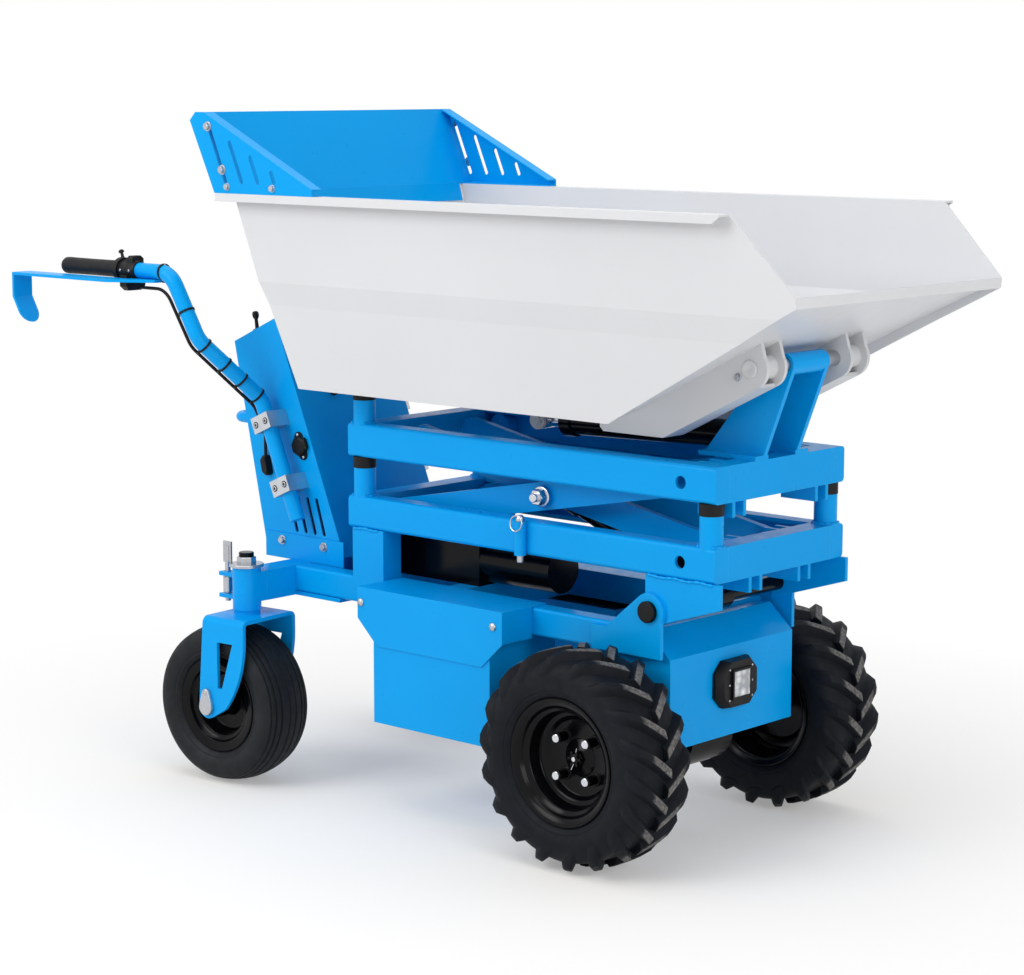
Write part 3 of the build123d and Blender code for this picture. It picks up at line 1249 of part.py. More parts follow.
def caster_fork():
    """A bent-plate fork on its swivel stem, with cut-outs and the wheel's axle bolt."""
    inner = CASTER_TYRE_WIDTH / 2 + WORK_CLEAR
    outer = inner + PLATE
    axle_z = CASTER_TYRE_R
    low = axle_z - 2 * FORK_END_R
    fork = box(-2 * FORK_FRONT, 2 * FORK_FRONT, -outer, outer, low, FORK_TOP_Z)
    fork = fillet(fork.edges().filter_by(Axis.X).group_by(Axis.Z)[-1], PLATE + WORK_CLEAR)
    hollow = box(-2 * FORK_FRONT, 2 * FORK_FRONT, -inner, inner, low, FORK_TOP_Z - PLATE)
    fork -= fillet(hollow.edges().filter_by(Axis.X).group_by(Axis.Z)[-1], WORK_CLEAR)
    sides = Pos(0, outer, 0) * extrude(Plane.XZ * fork_outline(), 2 * outer)
    fork &= sides + round_y(-CASTER_TRAIL, axle_z, FORK_END_R, -outer, outer)
    fork -= plate_xz(
        [
            (-WORK_CLEAR * 2, axle_z + FORK_REAR - PLATE), (0, axle_z + FORK_REAR - PLATE),
            (FORK_FRONT / 2, FORK_TOP_Z - FORK_REAR), (-WORK_CLEAR * 2, FORK_TOP_Z - FORK_REAR),
        ],
        -2 * outer, 2 * outer,
    )
    fork += round_z(0, 0, HOUSING_R - SIDE_CLEAR, FORK_TOP_Z - SHEET, HOUSING_BOTTOM - RUN_CLEAR)
    fork += round_z(0, 0, CASTER_STEM_R, FORK_TOP_Z - SHEET, HOUSING_TOP + HOUSING_R)
    fork += round_z(0, 0, HOUSING_R + LUG_GAP, HOUSING_TOP + RUN_CLEAR, HOUSING_TOP + WORK_CLEAR)
    fork += round_y(-CASTER_TRAIL, axle_z, CASTER_AXLE_R, -outer - PLATE, outer + PLATE)
    return at_caster(fork)


def caster_tyre():
    """A plain many-sided caster tyre."""
    half = CASTER_TYRE_WIDTH / 2
    wide_r = (CASTER_RIM_R + CASTER_TYRE_R) / 2
    tyre = carcass(
        [(half, wide_r), (half * 0.85, CASTER_TYRE_R * 0.94), (half * 0.45, CASTER_TYRE_R)],
        CASTER_SIDES, CASTER_RIM_R, CASTER_RIM_WIDTH / 2,
    )
    return at_caster(Pos(-CASTER_TRAIL, 0, CASTER_TYRE_R) * tyre)


def caster_rim():
    """A caster's rim with a web and a hub on the axle bolt."""
    hub_half = CASTER_TYRE_WIDTH / 2 + WORK_CLEAR - PAD_EDGE
    rim = rim_barrel(CASTER_RIM_R, CASTER_RIM_WIDTH / 2)
    rim += round_y(0, 0, CASTER_RIM_R - RIM_WALL / 2, -RIM_WALL, RIM_WALL)
    rim += round_y(0, 0, HUB_R, -hub_half, hub_half)
    rim -= round_y(0, 0, CASTER_AXLE_R + RUN_CLEAR, -CASTER_TYRE_WIDTH, CASTER_TYRE_WIDTH)
    return at_caster(Pos(-CASTER_TRAIL, 0, CASTER_TYRE_R) * rim)


def hydraulic_unit():
    """The oil tank and pump motor between the rails, on the cross members."""
    tank = box(TANK_FRONT_X - TANK_LENGTH, TANK_FRONT_X, -TANK_HALF, TANK_HALF, RAIL_TOP, LOWER_Z - TANK_GAP)
    motor_z = RAIL_TOP + MOTOR_R + SHEET
    return tank + round_x(-TANK_HALF + MOTOR_R, motor_z, MOTOR_R, TANK_FRONT_X, TANK_FRONT_X + MOTOR_LENGTH)


os.makedirs("parts", exist_ok=True)

lift_barrel, lift_rod = cylinder_parts(LIFT_PIN_X, LIFT_PIN_Z, LIFT_EYE_X, LIFT_EYE_Z, LIFT_PIN_R)
tip_barrel, tip_rod = cylinder_parts(TIP_PIN_X, TIP_PIN_Z, TIP_EYE_X, TIP_EYE_Z, SCISSOR_PIN_R)

write("chassis_rails", chassis_rails())
write("caster_beam", caster_beam())
write("swivel_locks", swivel_locks())
write("cross_members", cross_members())
write("front_side_plates", front_side_plates())
write("lift_pin", lift_pin())
write("lower_side_channels", lower_side_channels())
write("lower_cross_rails", lugged_cross_rails(LOWER_Z, LOWER_HEIGHT, INNER_ARM_Y))
write("stop_pads", stop_pads(UPPER_Z, STOP_CORNERS))
write("safety_pin", safety_pin())
write("hydraulic_unit", hydraulic_unit())
write("front_cover", front_cover())
write("work_lamp", work_lamp())
write("lamp_lens", lamp_lens())
write("drive_axle", drive_axle())
write("console_stand", console_stand())
write("console_shell", console_shell())
write("console_fittings", console_fittings())
write("handle_clamps", handle_clamps())
write("grab_bar", grab_bar())
write("inner_arms", inner_arms())
write("arm_cross_tube", arm_cross_tube())
write("outer_arms", outer_arms())
write("roller_axle", roller_axle())
write("upper_side_channels", pair(side_channel(UPPER_Z, UPPER_HEIGHT, HOPPER_BOTTOM_Z, REST_CORNERS)))
write("upper_cross_rails", lugged_cross_rails(UPPER_Z, UPPER_HEIGHT, OUTER_ARM_Y))
write("hopper_rest_pads", stop_pads(HOPPER_BOTTOM_Z, REST_CORNERS))
write("pivot_tower", pivot_tower())
write("hopper_tub", hopper_tub())
write("hopper_brackets", hopper_brackets())
write("hinge_pin", hinge_pin())
write("guard_panel", guard_panel())
write("guard_sides", guard_sides())
write("lift_barrel", lift_barrel)
write("lift_rod", lift_rod)
write("tip_barrel", tip_barrel)
write("tip_rod", tip_rod)

PAIRED = {
    "handles": handle_tube, "handle_guards": handle_guard, "grips": grip, "hand_controls": hand_control,
    "handle_cables": handle_cable, "battery_boxes": battery_box, "battery_lids": battery_lid, "batteries": battery,
}
for name, make in PAIRED.items():
    write(name, pair(make()))

SIDED = {
    "front_tyre": front_tyre, "front_rim": front_rim,
    "caster_fork": caster_fork, "caster_tyre": caster_tyre, "caster_rim": caster_rim,
}
for name, make in SIDED.items():
    left = make()
    write(f"{name}_left", left)
    write(f"{name}_right", mirrored(left))
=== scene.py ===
"""Looks of a walk-behind site dumper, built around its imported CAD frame. Metres, +X forward, +Z up."""
import json
import math

import bmesh
import bpy
from mathutils import Matrix, Vector


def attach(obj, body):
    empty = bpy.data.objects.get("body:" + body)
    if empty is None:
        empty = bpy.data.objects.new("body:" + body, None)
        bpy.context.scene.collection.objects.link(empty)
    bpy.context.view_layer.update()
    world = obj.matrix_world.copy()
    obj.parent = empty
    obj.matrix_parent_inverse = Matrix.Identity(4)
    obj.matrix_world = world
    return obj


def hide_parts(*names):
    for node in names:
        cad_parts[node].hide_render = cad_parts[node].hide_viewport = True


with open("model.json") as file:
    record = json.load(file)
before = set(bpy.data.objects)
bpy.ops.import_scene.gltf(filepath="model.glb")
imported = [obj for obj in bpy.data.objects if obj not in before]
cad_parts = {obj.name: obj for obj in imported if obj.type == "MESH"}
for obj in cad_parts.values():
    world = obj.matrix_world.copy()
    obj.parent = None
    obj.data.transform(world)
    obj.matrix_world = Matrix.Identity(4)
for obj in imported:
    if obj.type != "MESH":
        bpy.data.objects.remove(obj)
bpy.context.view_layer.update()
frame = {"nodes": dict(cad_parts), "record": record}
NODES = frame["nodes"]

# Camera: the photograph's viewpoint, for a picture 1024 pixels wide.
PICTURE_WIDTH = 1024
FOCAL_PIXELS = 2638.92
SENSOR_WIDTH = 36.0
CAMERA_PLACE = Vector((3.57916, -3.83322, 1.42486))
CAMERA_FORWARD = Vector((-0.6650, 0.7310, -0.1535))
CAMERA_RIGHT = Vector((0.7396, 0.6730, 0.0))


def srgb(red, green, blue):
    """A screen colour from 0 to 255 as a linear one."""
    def linear(value):
        share = value / 255
        return share / 12.92 if share <= 0.04045 else ((share + 0.055) / 1.055) ** 2.4
    return (linear(red), linear(green), linear(blue), 1.0)


# Materials: a bump is its strength, its distance and the radius that softens edges, in metres

BEVEL_SAMPLES = 4
# How far an edge turns from flat before its painted highlight is full.
EDGE_HIGHLIGHT_FACING = 0.72
PAINT_DRIFT_SCALE = 3.0
PAINT_SMEAR_SCALE = 38.0
PAINT_PEEL_SCALE = 520.0
# The bevel radius of the painted edge highlight.
PAINT_EDGE_HIGHLIGHT_RADIUS = 0.0022
PAINT_BUMP = (0.10, 0.0006, 0.0014)
PAINT_COAT_ROUGHNESS = 0.12
DUST_SCALE = 22.0
RUBBER_SMEAR_SCALE = 60.0
RUBBER_BUMP = (0.25, 0.0007, 0.0012)
RUBBER_SHINE = 0.22
DRIVE_GRAIN_SCALE = 420.0
DRIVE_BUMP = (0.25, 0.0007, 0.0016)
DRIVE_SHINE = 0.12
# Patch scale and depths below the lug tops of the painted highlight on the drive tyres.
LUG_HIGHLIGHT_PATCH_SCALE = 150.0
LUG_HIGHLIGHT_DEPTHS = (0.0022, 0.0004)
METAL_STAIN_SCALE = 40.0
METAL_BUMP = (0.08, 0.0003, 0.0006)
LENS_FACET_SCALE = 70.0
LENS_SMEAR_SCALE = 90.0
LENS_BUMP = (0.4, 0.002)


class Shader:
    """A material's node tree, with short calls for the nodes that the finishes share."""

    def __init__(self, name):
        self.material = bpy.data.materials.new(name)
        self.material.use_nodes = True
        self.tree = self.material.node_tree
        self.surface = self.tree.nodes["Principled BSDF"]
        self.place = self.node("ShaderNodeTexCoord").outputs["Object"]

    def node(self, kind, **settings):
        made = self.tree.nodes.new(kind)
        for name, value in settings.items():
            setattr(made, name, value)
        return made

    def join(self, source, target):
        self.tree.links.new(source, target)

    def set(self, **sockets):
        """Constants on the surface shader's own sockets."""
        for name, value in sockets.items():
            self.surface.inputs[name.replace("_", " ").title().replace("Ior", "IOR")].default_value = value

    def noise(self, scale, detail=3.0, roughness=0.5):
        made = self.node("ShaderNodeTexNoise")
        made.inputs["Scale"].default_value = scale
        made.inputs["Detail"].default_value = detail
        made.inputs["Roughness"].default_value = roughness
        self.join(self.place, made.inputs["Vector"])
        return made.outputs["Fac"]

    def span(self, source, low, high, from_low=0.3, from_high=0.7):
        """A value spread from one range to another."""
        made = self.node("ShaderNodeMapRange")
        ends = {"From Min": from_low, "From Max": from_high, "To Min": low, "To Max": high}
        for name, value in ends.items():
            made.inputs[name].default_value = value
        self.join(source, made.inputs["Value"])
        return made.outputs["Result"]

    def mix(self, factor, first, second):
        """A colour between two, each a constant or a node's output."""
        made = self.node("ShaderNodeMix", data_type="RGBA")
        self.join(factor, made.inputs["Factor"])
        for socket, value in ((made.inputs["A"], first), (made.inputs["B"], second)):
            if isinstance(value, tuple):
                socket.default_value = value
            else:
                self.join(value, socket)
        return made.outputs["Result"]

    def product(self, first, second):
        made = self.node("ShaderNodeMath", operation="MULTIPLY")
        self.join(first, made.inputs[0])
        self.join(second, made.inputs[1])
        return made.outputs["Value"]

    def soft_normal(self, radius):
        """Normals that round off the edges."""
        made = self.node("ShaderNodeBevel", samples=BEVEL_SAMPLES)
        made.inputs["Radius"].default_value = radius
        return made.outputs["Normal"]

    def edge_highlight(self, radius):
        """A mask for the painted edge highlight, from 0 on flat stretches to 1 on an outer edge."""
        facing = self.node("ShaderNodeVectorMath", operation="DOT_PRODUCT")
        self.join(self.soft_normal(radius), facing.inputs[0])
        self.join(self.node("ShaderNodeNewGeometry").outputs["Normal"], facing.inputs[1])
        return self.span(facing.outputs["Value"], 0.0, 1.0, 1.0, EDGE_HIGHLIGHT_FACING)

    def dusted(self, colour, dust):
        """A colour with patches of dust on it."""
        patches = self.span(self.noise(DUST_SCALE, 5.0, 0.6), 0.0, 1.0, 0.45, 0.8)
        return self.mix(patches, colour, dust)

    def colour(self, source):
        self.join(source, self.surface.inputs["Base Color"])

    def roughen(self, source, low, high):
        """Roughness that drifts between two values."""
        self.join(self.span(source, low, high), self.surface.inputs["Roughness"])

    def bump(self, height, strength, distance, soft_radius=0.0):
        made = self.node("ShaderNodeBump")
        made.inputs["Strength"].default_value = strength
        made.inputs["Distance"].default_value = distance
        self.join(height, made.inputs["Height"])
        if soft_radius:
            self.join(self.soft_normal(soft_radius), made.inputs["Normal"])
        self.join(made.outputs["Normal"], self.surface.inputs["Normal"])


def paint(name, colour, shade, edge, roughness, coat, shine):
    """Powder coat: orange-peel bump, a slight drift of colour, and a lighter colour on edges that is a
    painted highlight.
    """
    shader = Shader(name)
    drift = shader.mix(shader.span(shader.noise(PAINT_DRIFT_SCALE), 0.0, 1.0), shade, colour)
    # Outer edges take the edge colour, a painted highlight.
    shader.colour(shader.mix(shader.edge_highlight(PAINT_EDGE_HIGHLIGHT_RADIUS), drift, edge))
    shader.roughen(shader.noise(PAINT_SMEAR_SCALE, 4.0), roughness - 0.05, roughness + 0.07)
    shader.bump(shader.noise(PAINT_PEEL_SCALE, 2.0), *PAINT_BUMP)
    shader.set(coat_weight=coat, coat_roughness=PAINT_COAT_ROUGHNESS, specular_ior_level=shine)
    return shader.material


def rubber(name, colour, dust, roughness, grain):
    """Moulded rubber or plastic with a fine grain and patches of dust."""
    shader = Shader(name)
    shader.colour(shader.dusted(colour, dust))
    shader.roughen(shader.noise(RUBBER_SMEAR_SCALE), roughness - 0.08, roughness + 0.08)
    shader.bump(shader.noise(grain), *RUBBER_BUMP)
    shader.set(specular_ior_level=RUBBER_SHINE)
    return shader.material


def drive_rubber(name, colour, dust, lug_top_highlight):
    """Drive tyre rubber, with a patchy painted highlight of lighter grey on the tops of its lugs."""
    shader = Shader(name)
    spoke = shader.node("ShaderNodeVectorMath", operation="SUBTRACT")
    shader.join(shader.place, spoke.inputs[0])
    spoke.inputs[1].default_value = place(*FRONT_AXLE)
    flat = shader.node("ShaderNodeVectorMath", operation="MULTIPLY")
    shader.join(spoke.outputs["Vector"], flat.inputs[0])
    flat.inputs[1].default_value = (1.0, 0.0, 1.0)
    reach = shader.node("ShaderNodeVectorMath", operation="LENGTH")
    shader.join(flat.outputs["Vector"], reach.inputs[0])
    # Painted highlight: the lug tops, where light from above falls, turn a patchy lighter grey.
    low, high = (LUG_TOP_R - depth for depth in LUG_HIGHLIGHT_DEPTHS)
    top = shader.span(reach.outputs["Value"], 0.0, 1.0, low, high)
    highlight_patches = shader.span(shader.noise(LUG_HIGHLIGHT_PATCH_SCALE, 5.0, 0.65), 0.25, 1.0, 0.35, 0.62)
    shader.colour(shader.mix(shader.product(top, highlight_patches), shader.dusted(colour, dust), lug_top_highlight))
    shader.roughen(shader.noise(RUBBER_SMEAR_SCALE), 0.5, 0.66)
    shader.bump(shader.noise(DRIVE_GRAIN_SCALE), *DRIVE_BUMP)
    shader.set(specular_ior_level=DRIVE_SHINE)
    return shader.material


def metal(name, colour, shade, roughness, scratch):
    """Bare or plated metal with faint scratches."""
    shader = Shader(name)
    shader.colour(shader.mix(shader.noise(METAL_STAIN_SCALE, 4.0), shade, colour))
    shader.roughen(shader.noise(scratch, 5.0, 0.7), roughness - 0.06, roughness + 0.1)
    shader.bump(shader.noise(scratch * 2, 2.0), *METAL_BUMP)
    shader.set(metallic=1.0)
    return shader.material


def lens(name):
    """A moulded lamp face with facets behind it, lit by painted glints that brighten towards each facet's
    middle.
    """
    shader = Shader(name)
    facets = shader.node("ShaderNodeTexVoronoi")
    facets.inputs["Scale"].default_value = LENS_FACET_SCALE
    shader.join(shader.place, facets.inputs["Vector"])
    # Painted glints: each facet lightens from its rim towards its middle.
    bright = shader.span(facets.outputs["Distance"], 1.0, 0.0, 0.1, 0.75)
    shader.colour(shader.mix(bright, srgb(150, 154, 160), srgb(238, 240, 242)))
    shader.roughen(shader.noise(LENS_SMEAR_SCALE), 0.1, 0.2)
    shader.bump(facets.outputs["Distance"], *LENS_BUMP)
    shader.set(coat_weight=1.0, coat_roughness=0.03)
    return shader.material


# Mesh helpers: millimetres from the front axle, as the CAD source has them

ORIGIN_X = -534.5
WASHER_DEPTH = 1.8
WASHER_CHAMFER = 0.6
WELD_RADIUS = 3.3
WELD_SIDES = 8
WELD_SHARES = (0.8, 0.35)
WELD_BEATS = (1.9, 0.7)
WELD_END = 0.4


def place(x, y, z):
    """A point in the frame's metres."""
    return Vector(((x - ORIGIN_X) / 1000, y / 1000, z / 1000))


def shift(x, y, z):
    """A step in the frame's metres."""
    return Vector((x / 1000, y / 1000, z / 1000))


def basis(axis, up=None):
    """Three unit vectors, the third along an axis and the second near the up direction."""
    third = Vector(axis).normalized()
    guide = Vector(up) if up else (Vector((0, 0, 1)) if abs(third.z) < 0.9 else Vector((1, 0, 0)))
    first = guide.cross(third).normalized()
    return first, third.cross(first), third


def add_rings(shape, rings, around=True, caps=True):
    """Skin a list of rings of vertices."""
    count = len(rings[0])
    for near, far in zip(rings, rings[1:]):
        for index in range(count if around else count - 1):
            following = (index + 1) % count
            shape.faces.new((near[index], near[following], far[following], far[index]))
    if caps:
        shape.faces.new(rings[0])
        shape.faces.new(rings[-1])


def circle(shape, centre, first, second, radius, sides):
    """A ring of vertices round a centre, in the plane of two directions."""
    ring = []
    for index in range(sides):
        angle = 2 * math.pi * index / sides
        spoke = first * math.cos(angle) + second * math.sin(angle)
        ring.append(shape.verts.new(centre + spoke * radius / 1000))
    return ring


def add_lathe(shape, centre, axis, profile, segments=48, closed=False):
    """A turned form from (radius, offset) points, about an axis through a centre."""
    first, second, third = basis(axis)
    rings = []
    for radius, offset in profile:
        rings.append(circle(shape, centre + third * offset / 1000, first, second, radius, segments))
    if closed:
        rings.append(rings[0])
    add_rings(shape, rings, caps=not closed)


def add_prism(shape, centre, axis, outline, depth, chamfer=0.0, up=None):
    """A plate with the given outline, raised along an axis, its far edge chamfered."""
    first, second, third = basis(axis, up)
    steps = [(1.0, 0.0), (1.0, depth - chamfer)]
    if chamfer:
        reach = max(math.hypot(*point) for point in outline)
        steps.append((1.0 - chamfer / reach, depth))
    rings = []
    for scale, offset in steps:
        rings.append([
            shape.verts.new(centre + (first * (u * scale) + second * (v * scale) + third * offset) / 1000)
            for u, v in outline
        ])
    add_rings(shape, rings)


def polygon(radius, sides, turn=0.0):
    """A regular outline."""
    step = 2 * math.pi / sides
    return [(radius * math.cos(turn + step * k), radius * math.sin(turn + step * k)) for k in range(sides)]


def oblong(width, height, middle=(0.0, 0.0)):
    """A rectangular outline about a middle."""
    corners = ((1, 1), (-1, 1), (-1, -1), (1, -1))
    return [(middle[0] + u * width / 2, middle[1] + v * height / 2) for u, v in corners]


def teardrop(big, small, rise, steps=10):
    """The outline round two circles, the small one above the big one."""
    meet = math.acos((big - small) / rise)
    points = []
    for k in range(steps + 1):
        turn = meet + (2 * math.pi - 2 * meet) * k / steps
        points.append((big * math.sin(turn), big * math.cos(turn)))
    for k in range(steps + 1):
        turn = -meet + 2 * meet * k / steps
        points.append((small * math.sin(turn), rise + small * math.cos(turn)))
    return points


def capsule(width, height):
    """An outline with round ends about its middle."""
    rise = height - width
    return [(u, v - rise / 2) for u, v in teardrop(width / 2, width / 2, rise)]


def octagon(width, height, cut):
    """A rectangular outline with its corners cut off."""
    half_w = width / 2
    half_h = height / 2
    return [
        (half_w, half_h - cut), (half_w - cut, half_h), (cut - half_w, half_h), (-half_w, half_h - cut),
        (-half_w, cut - half_h), (cut - half_w, -half_h), (half_w - cut, -half_h), (half_w, cut - half_h),
    ]


def add_weld(shape, points):
    """A rippled bead along a line of points, in metres."""
    last = len(points) - 1
    even, ripple = WELD_SHARES
    quick_beat, slow_beat = WELD_BEATS
    rings = []
    for index, point in enumerate(points):
        first, second, _ = basis(points[min(index + 1, last)] - points[max(index - 1, 0)])
        share = even + ripple * math.sin(index * quick_beat) * math.sin(index * slow_beat + 1)
        if index in (0, last):
            share = WELD_END
        rings.append(circle(shape, point, first, second, WELD_RADIUS * share, WELD_SIDES))
    add_rings(shape, rings)


def add_bolt(shape, centre, axis, head=6.5, height=5.5, washer=10.0):
    """A hexagon bolt head, half its width across flats, on a washer."""
    rim = (washer, WASHER_DEPTH - WASHER_CHAMFER)
    face = (washer - WASHER_CHAMFER, WASHER_DEPTH)
    add_lathe(shape, centre, axis, [(washer, 0.0), rim, face, (0.4, WASHER_DEPTH)], 28)
    base = centre + Vector(axis).normalized() * WASHER_DEPTH / 1000
    add_prism(shape, base, axis, polygon(head / math.cos(math.pi / 6), 6), height, 0.8)


def add_dome(shape, centre, axis, radius, height):
    """A low domed head."""
    profile = [(radius, 0.0)]
    for k in range(6):
        angle = k * math.pi / 12
        profile.append((radius * math.cos(angle), height * (0.25 + 0.75 * math.sin(angle))))
    add_lathe(shape, centre, axis, profile, 28)


def add_socket_screw(shape, centre, axis, radius, height):
    """A round screw head with a socket."""
    head = [(radius, 0.0), (radius, height - 0.5), (radius - 0.5, height)]
    socket = [(radius * 0.55, height), (radius * 0.5, 0.4)]
    add_lathe(shape, centre, axis, head + socket, 24)


def finish_piece(name, body, slot, shape, nodes=(), angle=38.0, finish=None):
    """Turn built faces into a piece that rides on a body with a slot's finish."""
    bmesh.ops.recalc_face_normals(shape, faces=shape.faces)
    mesh = bpy.data.meshes.new(name)
    shape.to_mesh(mesh)
    shape.free()
    mesh.shade_smooth()
    mesh.set_sharp_from_angle(angle=math.radians(angle))
    mesh.materials.append(MATERIALS[finish or slot])
    made = bpy.data.objects.new(name, mesh)
    bpy.context.scene.collection.objects.link(made)
    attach(made, body)
    if nodes:
        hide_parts(*nodes)


# Drive wheels: turned profiles are (radius, outward offset), and lugs start at the tread's middle

FRONT_AXLE = (0.0, 294.0, 205.0)
TYRE_SEGMENTS = 144
RIM_SEGMENTS = 96
LUG_TOP_R = 0.205
LUGS_PER_SIDE = 18
LUG_START = 9.0
TYRE_SHOULDER = [
    (119.5, 62.0), (123, 67.5), (127, 69.5), (129, 71.2), (132, 71.2), (133, 72.6), (140, 75.2),
    (150, 76.6), (160, 76.2), (168, 74.2), (175, 70.5), (181, 65.0), (185.5, 57), (188, 44), (189.5, 22),
    (190, 0),
]
TYRE_BORE = (104.4, 61.0)
LUG_PATH = [(-3, 190), (16, 190), (34, 189.6), (50, 188), (62, 184), (70, 176.5), (74.5, 168), (76.0, 160)]
LUG_HEIGHT = [15.0, 15.0, 15.0, 14.4, 12.4, 7.0, 2.5, 0.2]
LUG_TURN = [0.0, -4.3, -8.4, -12.0, -14.8, -17.2, -19.6, -22.4]
LUG_HALF = [12.0, 12.0, 12.2, 12.6, 13.0, 12.5, 11.5, 8.5]
LUG_FLARE = 4.5
LUG_SECTION = ((1.0, -0.15), (0.78, 0.84), (0.6, 1.0), (-0.6, 1.0), (-0.78, 0.84), (-1.0, -0.15))
DRIVE_RIM = [
    (0.5, 14), (16, 14), (18, 12), (33, 10), (36, 7.5), (70, 7.5), (73, 9.5), (77, 18.5), (80, 20.5),
    (86, 21.5), (88.5, 25), (90, 45), (93, 49), (98, 50.5), (100.5, 54), (102.5, 60), (106, 63.2),
    (112, 65), (115.5, 66.8), (118, 66.4), (119, 64.6), (118.4, 62.8), (112, 62.4), (104, 60), (103.8, -60),
    (112, -62.4), (118.4, -62.8), (119, -64.6), (118, -66.4), (112, -65), (102, -58), (97, -40), (95, 10),
    (88, 12), (80, 11), (72, 1), (30, 0), (20, 0), (20, -128), (0.5, -128),
]
STUD_CIRCLE = 49.5
STUD_COUNT = 4
STUD_FOOT = 7.5
STUD_LENGTH = 26.0
STUD_WASHER = [(12.5, 0), (12.5, 1.6), (11.5, 2.4), (9, 2.4)]
STUD_SLEEVE = [(9, 0), (9, STUD_LENGTH), (7.5, STUD_LENGTH + 0.5)]
STUD_TIP = [(8, STUD_LENGTH), (8, STUD_LENGTH + 4.2), (7, STUD_LENGTH + 5), (0.4, STUD_LENGTH + 5)]
HUB_FACE = 13.5
HUB_NUT_R = 16.5
HUB_NUT_DEPTH = 8.0
HUB_SPINDLE = [(9.5, 7), (9.5, 13), (8, 14), (0.4, 14)]
HUB_TIP = [(4.2, 0), (4.2, 1.0), (0.4, 1.4)]
HUB_TIP_FOOT = 13.8
CROWN_COUNT = 6
CROWN_CIRCLE = 12.4
CROWN_FOOT = 7.5
CROWN = [(3.4, 0), (3.4, 5), (2.6, 6)]
SPLIT_PIN_TURNS = (10, 190)
SPLIT_PIN_SWEEP = 8
SPLIT_PIN_START = (8, 10.5)
SPLIT_PIN_END = (24, 13.0)
SPLIT_PIN = [(1.1, 0), (1.1, 14), (0.4, 14.6)]


def wheel_point(centre, side, radius, offset, degrees):
    """A point on a wheel: degrees run forward from its top, offsets outward on that side."""
    angle = math.radians(degrees)
    return centre + Vector((math.sin(angle) * radius, side * offset, math.cos(angle) * radius)) / 1000


def mirrored(shoulder, bore):
    """A tyre's closed profile from one shoulder and the edge of its bore."""
    far = [(radius, -offset) for radius, offset in reversed(shoulder[:-1])]
    return shoulder + far + [(bore[0], -bore[1]), bore]


def add_lug(shape, centre, side, start):
    """One curved bar of the drive tread, from the tread's middle down on to the sidewall."""
    rows = []
    last = len(LUG_PATH) - 1
    for index, (offset, radius) in enumerate(LUG_PATH):
        before = LUG_PATH[max(index - 1, 0)]
        after = LUG_PATH[min(index + 1, last)]
        run = math.hypot(after[0] - before[0], after[1] - before[1])
        out_y = -(after[1] - before[1]) / run
        out_r = (after[0] - before[0]) / run
        row = []
        for wide, share in LUG_SECTION:
            top_r = radius + out_r * LUG_HEIGHT[index] * share
            top_y = offset + out_y * LUG_HEIGHT[index] * share
            spread = LUG_HALF[index] + (LUG_FLARE if abs(wide) == 1.0 else 0.0)
            turn = start + LUG_TURN[index] + math.degrees(wide * spread / top_r)
            row.append(shape.verts.new(wheel_point(centre, side, top_r, top_y, turn)))
        rows.append(row)
    add_rings(shape, rows, around=False)


def build_drive_tyre(name, side):
    """A drive tyre: moulded carcass and two staggered rows of curved lugs."""
    shape = bmesh.new()
    centre = place(FRONT_AXLE[0], side * FRONT_AXLE[1], FRONT_AXLE[2])
    add_lathe(shape, centre, (0, 1, 0), mirrored(TYRE_SHOULDER, TYRE_BORE), TYRE_SEGMENTS, closed=True)
    pitch = 360 / LUGS_PER_SIDE
    for index in range(LUGS_PER_SIDE):
        add_lug(shape, centre, side, index * pitch + LUG_START)
        add_lug(shape, centre, -side, (index + 0.5) * pitch + LUG_START)
    body = f"front_wheel_{name}"
    finish_piece(f"drive_tyre_{name}", body, "tyre", shape, [f"front_tyre_{name}"], 32.0, "drive_tyre")


def build_drive_rim(name, side):
    """A stepped gloss rim with four sleeved studs, and a castle nut with its split pin."""
    axis = Vector((0, side, 0))
    body = f"front_wheel_{name}"
    centre = place(FRONT_AXLE[0], side * FRONT_AXLE[1], FRONT_AXLE[2])
    rim = bmesh.new()
    bright = bmesh.new()
    add_lathe(rim, centre, axis, DRIVE_RIM, RIM_SEGMENTS)
    for index in range(STUD_COUNT):
        foot = wheel_point(centre, side, STUD_CIRCLE, STUD_FOOT, (index + 0.5) * 360 / STUD_COUNT)
        add_lathe(rim, foot, axis, STUD_WASHER, 28)
        add_lathe(rim, foot, axis, STUD_SLEEVE, 28)
        add_lathe(bright, foot, axis, STUD_TIP, 28)
    hub = centre + axis * HUB_FACE / 1000
    add_prism(rim, hub, axis, polygon(HUB_NUT_R, 6), HUB_NUT_DEPTH, 1.0)
    add_lathe(rim, hub, axis, HUB_SPINDLE, 24)
    for index in range(CROWN_COUNT):
        crown = wheel_point(hub, side, CROWN_CIRCLE, CROWN_FOOT, (index + 0.5) * 360 / CROWN_COUNT)
        add_lathe(rim, crown, axis, CROWN, 10)
    for turn in SPLIT_PIN_TURNS:
        leg = wheel_point(hub, side, *SPLIT_PIN_START, turn)
        end = wheel_point(hub, side, *SPLIT_PIN_END, turn + SPLIT_PIN_SWEEP)
        add_lathe(bright, leg, end - leg, SPLIT_PIN, 8)
    add_lathe(bright, hub + axis * HUB_TIP_FOOT / 1000, axis, HUB_TIP, 16)
    finish_piece(f"drive_rim_{name}", body, "black_paint", rim, [f"front_rim_{name}"])
    finish_piece(f"drive_nuts_{name}", body, "chrome", bright)


# Casters

